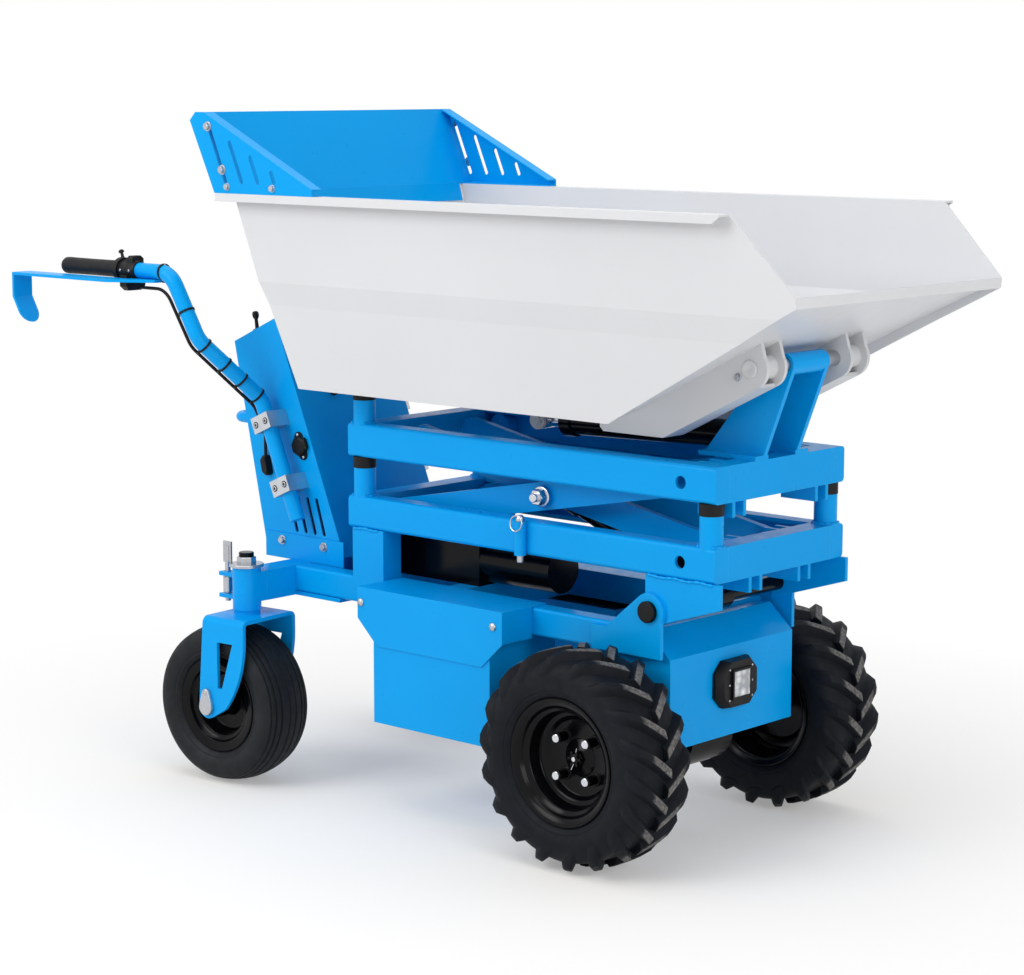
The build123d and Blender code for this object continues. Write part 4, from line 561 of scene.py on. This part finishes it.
SWIVEL = (-896.0, 302.0)
SWIVEL_TOP_Z = 446.0
SWIVEL_WASHER = [(35, 0.4), (35, 5.4), (34, 6.6), (15.2, 6.6)]
SWIVEL_NUT_FOOT = 6.4
SWIVEL_NUT_R = 19.5
SWIVEL_NUT_TURN = 0.3
SWIVEL_NUT_DEPTH = 14.0
SWIVEL_STUD = [(15.4, 20), (15.4, 28.6), (14, 29.8), (0.5, 29.8)]
CASTER_TRAIL = 40.0
CASTER_RADIUS = 163.0
CASTER_TURN = 5.0
FORK_FACE = 78.2
KEEPER_DEPTH = 8.4
KEEPER_RADII = (17, 9)
KEEPER_RISE = 29.0
KEEPER_SCREW = (3.6, 1.2)
CASTER_SHOULDER = [
    (99.0, 48.4), (102, 53), (106, 55.5), (108, 57.6), (111, 57.6), (113, 59.4), (121, 62.4), (130, 63.8),
    (139, 62.8), (146, 59.6), (150.5, 55.6), (151, 52.6), (149.4, 51.6), (153.4, 50.6), (155, 46.6),
    (155.2, 44.0), (152.8, 43), (152.8, 40.6), (157.2, 39.4), (158.6, 34), (158.8, 31.4), (156, 30.4),
    (156, 27.8), (160.2, 26.6), (162, 14), (162.3, 11.0), (159.8, 10), (159.8, 7.4), (162.6, 6.2), (163, 0),
]
CASTER_BORE = (84.4, 47.0)
CASTER_RIM = [
    (9.4, 67), (20, 67), (23, 65), (25, 58), (26, 16), (30, 11), (46, 9.5), (56, 12), (62, 20), (64, 34),
    (67, 38.5), (73, 40), (76, 43), (79, 49), (85, 51.4), (92, 52), (96, 53), (98, 51.6), (98, 49.2),
    (90, 48.4), (84, 46), (84, -46), (90, -48.4), (98, -49.2), (98, -51.6), (92, -52), (80, -49), (74, -36),
    (66, -20), (52, -8), (28, -6), (25, -12), (25, -64), (22, -67), (9.4, -67),
]


def caster_frame(side):
    """The wheel's centre and the outward axis of a caster as it stands."""
    turn = math.radians(CASTER_TURN)
    x = SWIVEL[0] - CASTER_TRAIL * math.cos(turn)
    y = SWIVEL[1] + CASTER_TRAIL * math.sin(turn)
    return place(x, side * y, CASTER_RADIUS), Vector((math.sin(turn), side * math.cos(turn), 0))


def build_caster_wheel(name, side):
    """A grooved caster tyre on a stepped gloss rim."""
    body = f"caster_wheel_{name}"
    centre, axis = caster_frame(side)
    tyre = bmesh.new()
    add_lathe(tyre, centre, axis, mirrored(CASTER_SHOULDER, CASTER_BORE), TYRE_SEGMENTS, closed=True)
    finish_piece(f"caster_tread_{name}", body, "tyre", tyre, [f"caster_tyre_{name}"], 30.0)
    rim = bmesh.new()
    add_lathe(rim, centre, axis, CASTER_RIM, RIM_SEGMENTS, closed=True)
    finish_piece(f"caster_wheel_rim_{name}", body, "black_paint", rim, [f"caster_rim_{name}"])


def build_fork_fittings(name, side):
    """The axle's teardrop keepers, and the washer, nut and stud top on the swivel."""
    body = f"caster_fork_{name}"
    centre, axis = caster_frame(side)
    up = Vector((0, 0, 1))
    keeper = teardrop(*KEEPER_RADII, KEEPER_RISE, 16)
    bright = bmesh.new()
    for way in (-1, 1):
        out = axis * way
        face = centre + out * FORK_FACE / 1000
        raised = face + out * KEEPER_DEPTH / 1000
        add_prism(bright, face, out, keeper, KEEPER_DEPTH, 1.6, up=up)
        add_socket_screw(bright, raised + up * KEEPER_RISE / 1000, out, *KEEPER_SCREW)
    top = place(SWIVEL[0], side * SWIVEL[1], SWIVEL_TOP_Z)
    nut = polygon(SWIVEL_NUT_R, 6, SWIVEL_NUT_TURN)
    add_lathe(bright, top, up, SWIVEL_WASHER, 40)
    add_prism(bright, top + shift(0, 0, SWIVEL_NUT_FOOT), up, nut, SWIVEL_NUT_DEPTH, 1.2)
    finish_piece(f"fork_fittings_{name}", body, "zinc", bright)
    dark = bmesh.new()
    add_lathe(dark, top, up, SWIVEL_STUD, 28)
    finish_piece(f"swivel_stud_{name}", body, "black_paint", dark)


# Handles: the controls' steps are taken from the bar's axis at their rear end or at their middle

GRIP_REAR = (-1443.0, 310.0, 1031.0)
GRIP_PROFILE = [
    (0.5, 0), (12, 0), (15.4, 1.2), (17.2, 4.5), (17.8, 12), (17.4, 40), (17.2, 90), (17.4, 150),
    (18.0, 170), (18.0, 177), (17.2, 179.4), (16.4, 179.8),
]
CONTROL_REAR = -1263.0
CONTROL_RING = [(16.2, 0), (24, 0), (25, 1.2), (25, 11.8), (24, 13), (16.2, 13)]
CONTROL_HOUSING = [(16.2, 12), (19.5, 12), (21, 16), (21, 56), (19.5, 61), (16.2, 62)]
CONTROL_MIDDLE = 37.0
BRIDGE_FOOT = (9, 0, 12)
BRIDGE_SIZE = (30, 20)
BRIDGE_DEPTH = 18.0
BRIDGE_CHAMFER = 6.0
STALK_FOOT = (8, 0, 22)
STALK_LEAN = (-0.35, 0, 0.94)
STALK = [(4, 0), (3.2, 8), (3.2, 14)]
STALK_TOP = 13.5
STALK_BALL = (6.0, 6.5)
SWITCH_DROP = 10.0
SWITCH_SIZE = (50, 22)
SWITCH_DEPTH = 32.0
SWITCH_CHAMFER = 9.0
SWITCH_KNOB = [(9, 0), (9, 5), (8, 6.4), (0.5, 6.4)]
SWITCH_KNOB_FOOT = (8.0, 30.0)
CONTROL_SCREW = (2.8, 2.0)
CONTROL_SCREW_REACH = 14.0
CONTROL_SCREW_FACE = 20.6
HANDLE_ROUTE = [
    (-871, 182, 529), (-976, 182, 770), (-1036, 298, 897), (-1105, 310, 1031), (-1440, 310, 1031),
]
TIE_SPOTS = [(1, 0.06), (1, 0.32), (1, 0.58), (1, 0.9), (2, 0.42), (3, 0.06)]
TIE_RING = [(16.1, -2.2), (17.8, -2.2), (17.8, 2.2), (16.1, 2.2)]
TIE_HEAD = (6, 5)
TIE_HEAD_FOOT = 17.0
TIE_HEAD_DEPTH = 5.0
CLAMP_SPOTS = [(-901, 598), (-956, 724)]
CLAMP_FACE_Y = 204.0
CLAMP_LEAN = 23.5
# A thin black disc under each clamp screw, painted shade for its counterbore.
CLAMP_HOLE_SHADE = [(7, 0), (7, 0.4), (0.5, 0.4)]
CLAMP_SCREW = (5.2, 1.8)
CLAMP_SCREW_REACH = 15.0


def build_grips():
    """Smooth rubber grips with rounded ends."""
    shape = bmesh.new()
    for side in (-1, 1):
        rear = place(GRIP_REAR[0], side * GRIP_REAR[1], GRIP_REAR[2])
        add_lathe(shape, rear, (1, 0, 0), GRIP_PROFILE, 40)
    finish_piece("grip_sleeves", "chassis", "black_rubber", shape, ["grips"])


def build_hand_controls():
    """The controls ahead of the grips: clamp ring, housing, lever on top and switch body below."""
    shape = bmesh.new()
    bright = bmesh.new()
    along = (1, 0, 0)
    up = Vector((0, 0, 1))
    lean = Vector(STALK_LEAN)
    knob_out, knob_drop = SWITCH_KNOB_FOOT
    for side in (-1, 1):
        out = Vector((0, side, 0))
        bar = place(CONTROL_REAR, side * GRIP_REAR[1], GRIP_REAR[2])
        add_lathe(shape, bar, along, CONTROL_RING, 40, closed=True)
        add_lathe(shape, bar, along, CONTROL_HOUSING, 40, closed=True)
        middle = bar + shift(CONTROL_MIDDLE, 0, 0)
        bridge = middle + shift(*BRIDGE_FOOT)
        add_prism(shape, bridge, up, oblong(*BRIDGE_SIZE), BRIDGE_DEPTH, BRIDGE_CHAMFER)
        stalk = bar + shift(*STALK_FOOT)
        add_lathe(shape, stalk, lean, STALK, 16)
        add_dome(shape, stalk + lean * STALK_TOP / 1000, lean, *STALK_BALL)
        switch = middle - shift(0, 0, SWITCH_DROP)
        add_prism(shape, switch, -up, oblong(*SWITCH_SIZE), SWITCH_DEPTH, SWITCH_CHAMFER)
        add_lathe(shape, middle + shift(0, side * knob_out, -knob_drop), out, SWITCH_KNOB, 28)
        for way in (-1, 1):
            screw = middle + shift(way * CONTROL_SCREW_REACH, side * CONTROL_SCREW_FACE, 0)
            add_socket_screw(bright, screw, out, *CONTROL_SCREW)
    finish_piece("control_bodies", "chassis", "black_plastic", shape, ["hand_controls"])
    finish_piece("control_screws", "chassis", "zinc", bright)


def build_ties():
    """Ties round the handle tubes, with the small head that each strap is pulled through."""
    shape = bmesh.new()
    for side in (-1, 1):
        for leg, share in TIE_SPOTS:
            start, end = (place(x, side * y, z) for x, y, z in HANDLE_ROUTE[leg:leg + 2])
            spot = start.lerp(end, share)
            along = end - start
            add_lathe(shape, spot, along, TIE_RING, 32, closed=True)
            _, above, _ = basis(along)
            head = spot - above * TIE_HEAD_FOOT / 1000
            add_prism(shape, head, -above, oblong(*TIE_HEAD), TIE_HEAD_DEPTH, 0.6)
    finish_piece("cable_ties", "chassis", "black_plastic", shape)


def build_clamp_screws():
    """Two socket screws in each handle clamp, with a dark ring round each that is painted shade for its
    counterbored hole.
    """
    screws = bmesh.new()
    hole_shade = bmesh.new()
    lean = math.radians(CLAMP_LEAN)
    for side in (-1, 1):
        out = (0, side, 0)
        for x, z in CLAMP_SPOTS:
            for way in (-1, 1):
                reach = CLAMP_SCREW_REACH * way
                spot = place(x + reach * math.cos(lean), side * CLAMP_FACE_Y, z + reach * math.sin(lean))
                # The black disc stands for the shade in the counterbored hole.
                add_lathe(hole_shade, spot, out, CLAMP_HOLE_SHADE, 24)
                add_socket_screw(screws, spot, out, *CLAMP_SCREW)
    finish_piece("clamp_screws", "chassis", "zinc", screws)
    finish_piece("clamp_hole_shade", "chassis", "black_plastic", hole_shade)


# Fasteners and small fittings: spots are (x, |y|, z) on both sides, bolts (head, height, washer)

LID_DOMES = [(-588, 280, 410), (-236.6, 280, 410)]
LID_DOME = (8.0, 5.5)
CONSOLE_BOLTS = [(-949, 153, 475), (-825, 153, 474)]
GUARD_BOLTS = [(-933, 353, 1330), (-892, 353, 1246)]
GUARD_FOOT_BOLTS = [(-878, 353, 1213), (-748, 353, 1213)]
GUARD_FOOT_BOLT = (5.5, 4.5, 7.5)
LOCK_PADDLE = (-953, 302, 469)
LOCK_PADDLE_SIZE = (24, 44)
LOCK_PADDLE_DEPTH = 4.0
LIFT_PLUG = (75, 210, 470)
LIFT_PLUG_PROFILE = [(19, 0), (19, 1.2), (18, 2.2), (0.5, 2.2)]
PIVOT_END = (-240, 140, 640)
PIVOT_WASHER = [(20, 0.2), (20, 1.6), (19, 2.2), (12.3, 2.2)]
PIVOT_NUT_FOOT = 2.0
PIVOT_NUT_R = 16.5
PIVOT_NUT_DEPTH = 14.8
PIVOT_STUD = [(9, 16), (9, 25), (7.6, 26.4), (0.5, 26.4)]
HINGE_END = (262, 159, 921)
HINGE_CAP = [(15.5, -2.8), (15.5, 0.6), (14.6, 1.4), (2.2, 1.4), (0.6, 0.4)]
HINGE_KEEPER = (235.5, 156, 905)
HINGE_KEEPER_BOLT = (5.0, 4.0, 7.5)
STOP_POSTS = [(194, 173, 600), (-683, 173, 600)]
REST_POSTS = [(-683, 173, 746)]
POST_WELD_R = 23.6
POST_WELD_RISE = 0.6
POST_WELD_START = 40
POST_WELD_SWEEP = 280
POST_WELD_STEPS = 48
FRAME_SEAMS = [(-695, -625), (66, 216)]
SEAM_FACE = (195.4, 535.5)
SEAM_STEP = 3
SEAM_WAVE = 9
SAFETY_PIN = (-237, -204)
SAFETY_FOOT_Z = 522.0
SAFETY_PROFILE = [(4.6, 0), (6, 1.4), (6, 76), (8, 78), (8.4, 81), (8, 87), (5, 90.5), (0.5, 91)]
SAFETY_RING = (-215.5, 598.0)
SAFETY_RING_R = 14.5
SAFETY_RING_TILT = 0.16
SAFETY_RING_STEPS = 36
SAFETY_WIRE_R = 1.4
SAFETY_WIRE_SIDES = 8
LAMP_MIDDLE = (133, 313)
LAMP_STEPS = [(20, 122, 90), (13, 122, 90), (0, 98, 86)]
LAMP_CUT = 22.0
LAMP_SCREWS = (34, 29)
LAMP_SCREW = (2.2, 1.6)
LENS_SIZE = 48.0
LENS_FRAME_GAP = 2.4
LENS_FRAME_WIDTH = 4.0
LENS_FRAME_DEPTH = 4.4
CONSOLE_SIDE = 150.0
CONSOLE_FACE = (0.923, 0, 0.384)
GLAND = (-991, 628)
GLAND_LEAN = (-0.24, 0, 0.97)
GLAND_SIZE = (19, 43)
GLAND_DEPTH = 16.0
GLAND_CHAMFER = 5.0
SOCKET = (-892, 677)
SOCKET_LEAN = (-0.36, 0, 0.93)
SOCKET_PLATE = (24, 60)
SOCKET_PLATE_DEPTH = 3.0
SOCKET_FLAP_R = 20.5
SOCKET_FLAP_DEPTH = 13.0
SOCKET_FLAP_CHAMFER = 4.0
SOCKET_HINGE = [(4, 0), (4, 24)]
SOCKET_HINGE_STEP = (18.0, 12.0, 6.0)
SOCKET_SCREW = (3.4, 2.0)
SOCKET_SCREW_REACH = 24.0
PADDLE_FOOT = (-1040, -132, 903)
PADDLE_LEAN = (-0.16, 0, 0.99)
PADDLE = [(4.5, 0), (3.6, 24), (6.6, 30), (7.2, 35), (6.0, 40), (2.5, 42)]
PADDLE_BOOT = (11, 9)
PADDLE_BOOT_SINK = 3.0
FRONT_KNOB = (-902, -52, 780)
FRONT_KNOB_PROFILE = [(6, -2), (6, 3), (10, 4), (10, 9), (9, 10), (0.5, 10)]


def sided(spots):
    """Each spot on both sides of the machine, with the outward axis there."""
    for side in (-1, 1):
        for x, y, z in spots:
            yield place(x, side * y, z), Vector((0, side, 0))


def build_chassis_bolts():
    """Domes on the lids, bolts on the console's foot, handles of the swivel locks, caps on the lift pin."""
    bright = bmesh.new()
    plugs = bmesh.new()
    for spot, out in sided(LID_DOMES):
        add_dome(bright, spot, out, *LID_DOME)
    for spot, out in sided(CONSOLE_BOLTS):
        add_bolt(bright, spot, out)
    for spot, out in sided([LOCK_PADDLE]):
        inner = spot - out * LOCK_PADDLE_DEPTH / 2000
        add_prism(bright, inner, out, oblong(*LOCK_PADDLE_SIZE), LOCK_PADDLE_DEPTH, 1.0)
    for spot, out in sided([LIFT_PLUG]):
        add_lathe(plugs, spot, out, LIFT_PLUG_PROFILE, 40)
    finish_piece("chassis_bolts", "chassis", "zinc", bright)
    finish_piece("lift_plugs", "chassis", "black_plastic", plugs)


def build_console_fittings():
    """Cable glands, the charging socket under its flap, the lever on the deck and the knob on the face."""
    shape = bmesh.new()
    screws = bmesh.new()
    for side in (-1, 1):
        gland = place(GLAND[0], side * CONSOLE_SIDE, GLAND[1])
        outline = capsule(*GLAND_SIZE)
        add_prism(shape, gland, (0, side, 0), outline, GLAND_DEPTH, GLAND_CHAMFER, up=GLAND_LEAN)
    out = Vector((0, -1, 0))
    lean = Vector(SOCKET_LEAN)
    socket = place(SOCKET[0], -CONSOLE_SIDE, SOCKET[1])
    flap = polygon(SOCKET_FLAP_R, 8, math.pi / 8)
    add_prism(shape, socket, out, capsule(*SOCKET_PLATE), SOCKET_PLATE_DEPTH, 0.8, up=SOCKET_LEAN)
    add_prism(shape, socket, out, flap, SOCKET_FLAP_DEPTH, SOCKET_FLAP_CHAMFER, up=SOCKET_LEAN)
    aside, below, outward = SOCKET_HINGE_STEP
    hinge = socket - (out.cross(lean) * aside + lean * below - out * outward) / 1000
    add_lathe(shape, hinge, lean, SOCKET_HINGE, 16)
    for way in (-1, 1):
        screw = socket + (lean * way * SOCKET_SCREW_REACH + out * SOCKET_PLATE_DEPTH) / 1000
        add_dome(screws, screw, out, *SOCKET_SCREW)
    foot = place(*PADDLE_FOOT)
    add_dome(shape, foot - shift(0, 0, PADDLE_BOOT_SINK), (0, 0, 1), *PADDLE_BOOT)
    add_lathe(shape, foot, PADDLE_LEAN, PADDLE, 20)
    add_lathe(shape, place(*FRONT_KNOB), CONSOLE_FACE, FRONT_KNOB_PROFILE, 28)
    finish_piece("console_plugs", "chassis", "black_plastic", shape, ["console_fittings"])
    finish_piece("socket_screws", "chassis", "zinc", screws)


def weld_round(shape, spots):
    """Beads round the feet of posts, open towards the rail's outer face."""
    for side in (-1, 1):
        for x, y, z in spots:
            points = []
            for step in range(POST_WELD_STEPS + 1):
                angle = math.radians(POST_WELD_START + POST_WELD_SWEEP * step / POST_WELD_STEPS)
                out = y + POST_WELD_R * math.cos(angle)
                points.append(place(x + POST_WELD_R * math.sin(angle), side * out, z + POST_WELD_RISE))
            add_weld(shape, points)


def build_welds():
    """Weld beads under the paint, on the frames' posts and along the lower frame's seats."""
    fixed = bmesh.new()
    lifted = bmesh.new()
    weld_round(fixed, STOP_POSTS)
    weld_round(lifted, REST_POSTS)
    face, z = SEAM_FACE
    for side in (-1, 1):
        for start, end in FRAME_SEAMS:
            count = round((end - start) / SEAM_STEP)
            points = [start + (end - start) * step / count for step in range(count + 1)]
            add_weld(fixed, [place(x, side * face, z + math.sin(x / SEAM_WAVE)) for x in points])
    finish_piece("frame_welds", "chassis", "blue_paint", fixed)
    finish_piece("platform_welds", "platform", "blue_paint", lifted)


def build_safety_pin():
    """The lift's safety pin in its sleeve, with its pull ring."""
    shape = bmesh.new()
    add_lathe(shape, place(*SAFETY_PIN, SAFETY_FOOT_Z), (0, 0, 1), SAFETY_PROFILE, 24)
    middle = place(SAFETY_PIN[0], *SAFETY_RING)
    across = Vector((0, 1, 0))
    rings = []
    for step in range(SAFETY_RING_STEPS):
        angle = 2 * math.pi * step / SAFETY_RING_STEPS
        spoke = Vector((math.sin(angle), SAFETY_RING_TILT * math.cos(angle), math.cos(angle)))
        centre = middle + spoke * SAFETY_RING_R / 1000
        rings.append(circle(shape, centre, spoke, across, SAFETY_WIRE_R, SAFETY_WIRE_SIDES))
    add_rings(shape, rings + rings[:1], caps=False)
    finish_piece("lift_lock_pin", "chassis", "zinc", shape, ["safety_pin"])


def build_lift_bolts():
    """The washer, nut and stud end on the scissor pivot."""
    shape = bmesh.new()
    for spot, out in sided([PIVOT_END]):
        nut = spot + out * PIVOT_NUT_FOOT / 1000
        add_lathe(shape, spot, out, PIVOT_WASHER, 36)
        add_prism(shape, nut, out, polygon(PIVOT_NUT_R, 6), PIVOT_NUT_DEPTH, 1.6)
        add_lathe(shape, spot, out, PIVOT_STUD, 28)
    finish_piece("pivot_nuts", "outer_arms", "chrome", shape)


def build_hopper_bolts():
    """Bolts of the spill guard, painted caps on the hinge pin and its keeper bolts."""
    bright = bmesh.new()
    caps = bmesh.new()
    for spot, out in sided(GUARD_BOLTS):
        add_bolt(bright, spot, out)
    for spot, out in sided(GUARD_FOOT_BOLTS):
        add_bolt(bright, spot, out, *GUARD_FOOT_BOLT)
    for spot, out in sided([HINGE_KEEPER]):
        add_bolt(bright, spot, out, *HINGE_KEEPER_BOLT)
    for spot, out in sided([HINGE_END]):
        add_lathe(caps, spot, out, HINGE_CAP, 40)
    finish_piece("guard_bolts", "hopper", "zinc", bright)
    finish_piece("hinge_caps", "hopper", "grey_paint", caps)


def build_lamp_trim():
    """The lamp's bevelled housing, the frame round its face and the small screws beside it."""
    housing = bmesh.new()
    screws = bmesh.new()
    x, z = LAMP_MIDDLE
    rings = []
    for depth, width, height in LAMP_STEPS:
        outline = octagon(width, height, LAMP_CUT)
        rings.append([housing.verts.new(place(x - depth, u, z + v)) for u, v in outline])
    add_rings(housing, rings)
    ahead = (1, 0, 0)
    centre = place(x, 0, z)
    wide = LENS_FRAME_WIDTH
    reach = LENS_SIZE / 2 + LENS_FRAME_GAP
    for way in (-1, 1):
        upright = oblong(wide, 2 * reach + wide, (way * reach, 0))
        level = oblong(2 * reach - wide, wide, (0, way * reach))
        add_prism(housing, centre, ahead, upright, LENS_FRAME_DEPTH)
        add_prism(housing, centre, ahead, level, LENS_FRAME_DEPTH)
        for row in (-1, 0, 1):
            spot = place(x, way * LAMP_SCREWS[0], z + row * LAMP_SCREWS[1])
            add_dome(screws, spot, ahead, *LAMP_SCREW)
    finish_piece("lamp_housing", "chassis", "black_plastic", housing, ["work_lamp"])
    finish_piece("lamp_screws", "chassis", "zinc", screws)


MATERIALS = {
    # Each paint's third colour is its painted edge highlight.
    "blue_paint": paint(
        "blue_paint", srgb(0, 159, 234), srgb(0, 154, 229), srgb(30, 176, 243), 0.32, 0.04, 0.1),
    "white_paint": paint(
        "white_paint", srgb(215, 216, 219), srgb(211, 212, 215), srgb(228, 229, 231), 0.42, 0.1, 0.4),
    "grey_paint": paint(
        "grey_paint", srgb(206, 207, 209), srgb(198, 199, 202), srgb(222, 223, 225), 0.42, 0.1, 0.4),
    "black_rubber": rubber("black_rubber", srgb(14, 14, 16), srgb(22, 22, 24), 0.55, 700.0),
    "tyre": rubber("tyre", srgb(19, 22, 26), srgb(27, 30, 35), 0.6, 420.0),
    # The drive tyre's last colour is the painted highlight on its lug tops.
    "drive_tyre": drive_rubber("drive_tyre", srgb(16, 19, 25), srgb(23, 26, 32), srgb(122, 120, 118)),
    "black_paint": paint(
        "black_paint", srgb(7, 8, 10), srgb(5, 6, 8), srgb(24, 25, 28), 0.18, 0.04, 0.12),
    "chrome": metal("chrome", srgb(220, 222, 226), srgb(200, 203, 208), 0.14, 90.0),
    "zinc": metal("zinc", srgb(196, 198, 202), srgb(172, 175, 180), 0.30, 70.0),
    "aluminium": metal("aluminium", srgb(208, 212, 216), srgb(188, 192, 197), 0.38, 60.0),
    "black_plastic": rubber("black_plastic", srgb(11, 11, 13), srgb(17, 17, 19), 0.42, 1100.0),
    "lamp_glass": lens("lamp_glass"),
}
for subpart in frame["record"]["subparts"]:
    mesh = NODES[subpart["node"]].data
    mesh.materials.clear()
    mesh.materials.append(MATERIALS[subpart["material_slot"]])

for name, side in (("left", 1), ("right", -1)):
    build_drive_tyre(name, side)
    build_drive_rim(name, side)
    build_caster_wheel(name, side)
    build_fork_fittings(name, side)
build_grips()
build_hand_controls()
build_console_fittings()
build_ties()
build_clamp_screws()
build_chassis_bolts()
build_safety_pin()
build_welds()
build_lift_bolts()
build_hopper_bolts()
build_lamp_trim()


# Stage, light and camera, in metres and watts

FLOOR_HALF = 60.0
FLOOR_COLOUR = (0.93, 0.92, 0.90, 1.0)
FLOOR_ROUGHNESS = 0.75
FLOOR_SHINE = 0.15
FADE_SHARES = (0.3, 1.0)
FADE_RADII = (0.7, 1.8)
WORLD_LIGHT = 0.44
LIGHT_TARGET = (0.0, 0.0, 0.7)
SOFTBOXES = [
    ("key", (-1.6, -4.6, 3.6), 3.2, 150.0),
    ("front_fill", (4.8, -1.2, 2.0), 2.6, 66.0),
    ("top", (0.0, 0.0, 5.0), 5.0, 118.0),
]


def backdrop_rays(tree):
    """1 for the rays that meet the plain background: from the camera, off gloss and through glass."""
    path = tree.nodes.new("ShaderNodeLightPath")
    seen = path.outputs["Is Camera Ray"]
    for kind in ("Is Glossy Ray", "Is Transmission Ray"):
        larger = tree.nodes.new("ShaderNodeMath")
        larger.operation = "MAXIMUM"
        tree.links.new(seen, larger.inputs[0])
        tree.links.new(path.outputs[kind], larger.inputs[1])
        seen = larger.outputs["Value"]
    return seen


def build_stage():
    """A pale floor that keeps the shadow near the machine and fades to plain white far away."""
    mesh = bpy.data.meshes.new("studio_floor")
    corners = [(u * FLOOR_HALF, v * FLOOR_HALF, 0) for u, v in ((-1, -1), (1, -1), (1, 1), (-1, 1))]
    mesh.from_pydata(corners, [], [(0, 1, 2, 3)])
    floor = bpy.data.objects.new("studio_floor", mesh)
    bpy.context.scene.collection.objects.link(floor)
    shader = Shader("studio_floor")
    shader.set(base_color=FLOOR_COLOUR, roughness=FLOOR_ROUGHNESS, specular_ior_level=FLOOR_SHINE)
    glow = shader.node("ShaderNodeEmission")
    blend = shader.node("ShaderNodeMixShader")
    distance = shader.node("ShaderNodeVectorMath", operation="LENGTH")
    shader.join(shader.place, distance.inputs[0])
    far = shader.span(distance.outputs["Value"], *FADE_SHARES, *FADE_RADII)
    shader.join(shader.product(far, backdrop_rays(shader.tree)), blend.inputs["Fac"])
    shader.join(shader.surface.outputs["BSDF"], blend.inputs[1])
    shader.join(glow.outputs["Emission"], blend.inputs[2])
    output = shader.tree.nodes["Material Output"]
    shader.join(blend.outputs["Shader"], output.inputs["Surface"])
    mesh.materials.append(shader.material)


def build_world():
    """White behind the machine, and a softer even light from all round."""
    world = bpy.data.worlds.new("studio")
    world.use_nodes = True
    tree = world.node_tree
    sky = tree.nodes["Background"]
    sky.inputs["Color"].default_value = (1.0, 1.0, 1.0, 1.0)
    level = tree.nodes.new("ShaderNodeMapRange")
    level.inputs["To Min"].default_value = WORLD_LIGHT
    level.inputs["To Max"].default_value = 1.0
    tree.links.new(backdrop_rays(tree), level.inputs["Value"])
    tree.links.new(level.outputs["Result"], sky.inputs["Strength"])
    bpy.context.scene.world = world


def build_lights():
    """Square area lamps: a large key from the camera's left, a fill from the front, a broad top light."""
    for name, spot, size, power in SOFTBOXES:
        light = bpy.data.lights.new(name, "AREA")
        light.size = size
        light.energy = power
        lamp = bpy.data.objects.new(name, light)
        lamp.location = spot
        lamp.rotation_euler = (Vector(LIGHT_TARGET) - Vector(spot)).to_track_quat("-Z", "Y").to_euler()
        bpy.context.scene.collection.objects.link(lamp)


def build_camera():
    """The photograph's camera."""
    data = bpy.data.cameras.new("camera")
    data.sensor_width = SENSOR_WIDTH
    data.lens = FOCAL_PIXELS * SENSOR_WIDTH / PICTURE_WIDTH
    camera = bpy.data.objects.new("camera", data)
    up = CAMERA_RIGHT.cross(CAMERA_FORWARD)
    turn = Matrix((CAMERA_RIGHT, up, -CAMERA_FORWARD)).transposed()
    camera.matrix_world = Matrix.Translation(CAMERA_PLACE) @ turn.to_4x4()
    bpy.context.scene.collection.objects.link(camera)
    bpy.context.scene.camera = camera


build_stage()
build_world()
build_lights()
build_camera()
bpy.context.scene.view_settings.view_transform = "Standard"
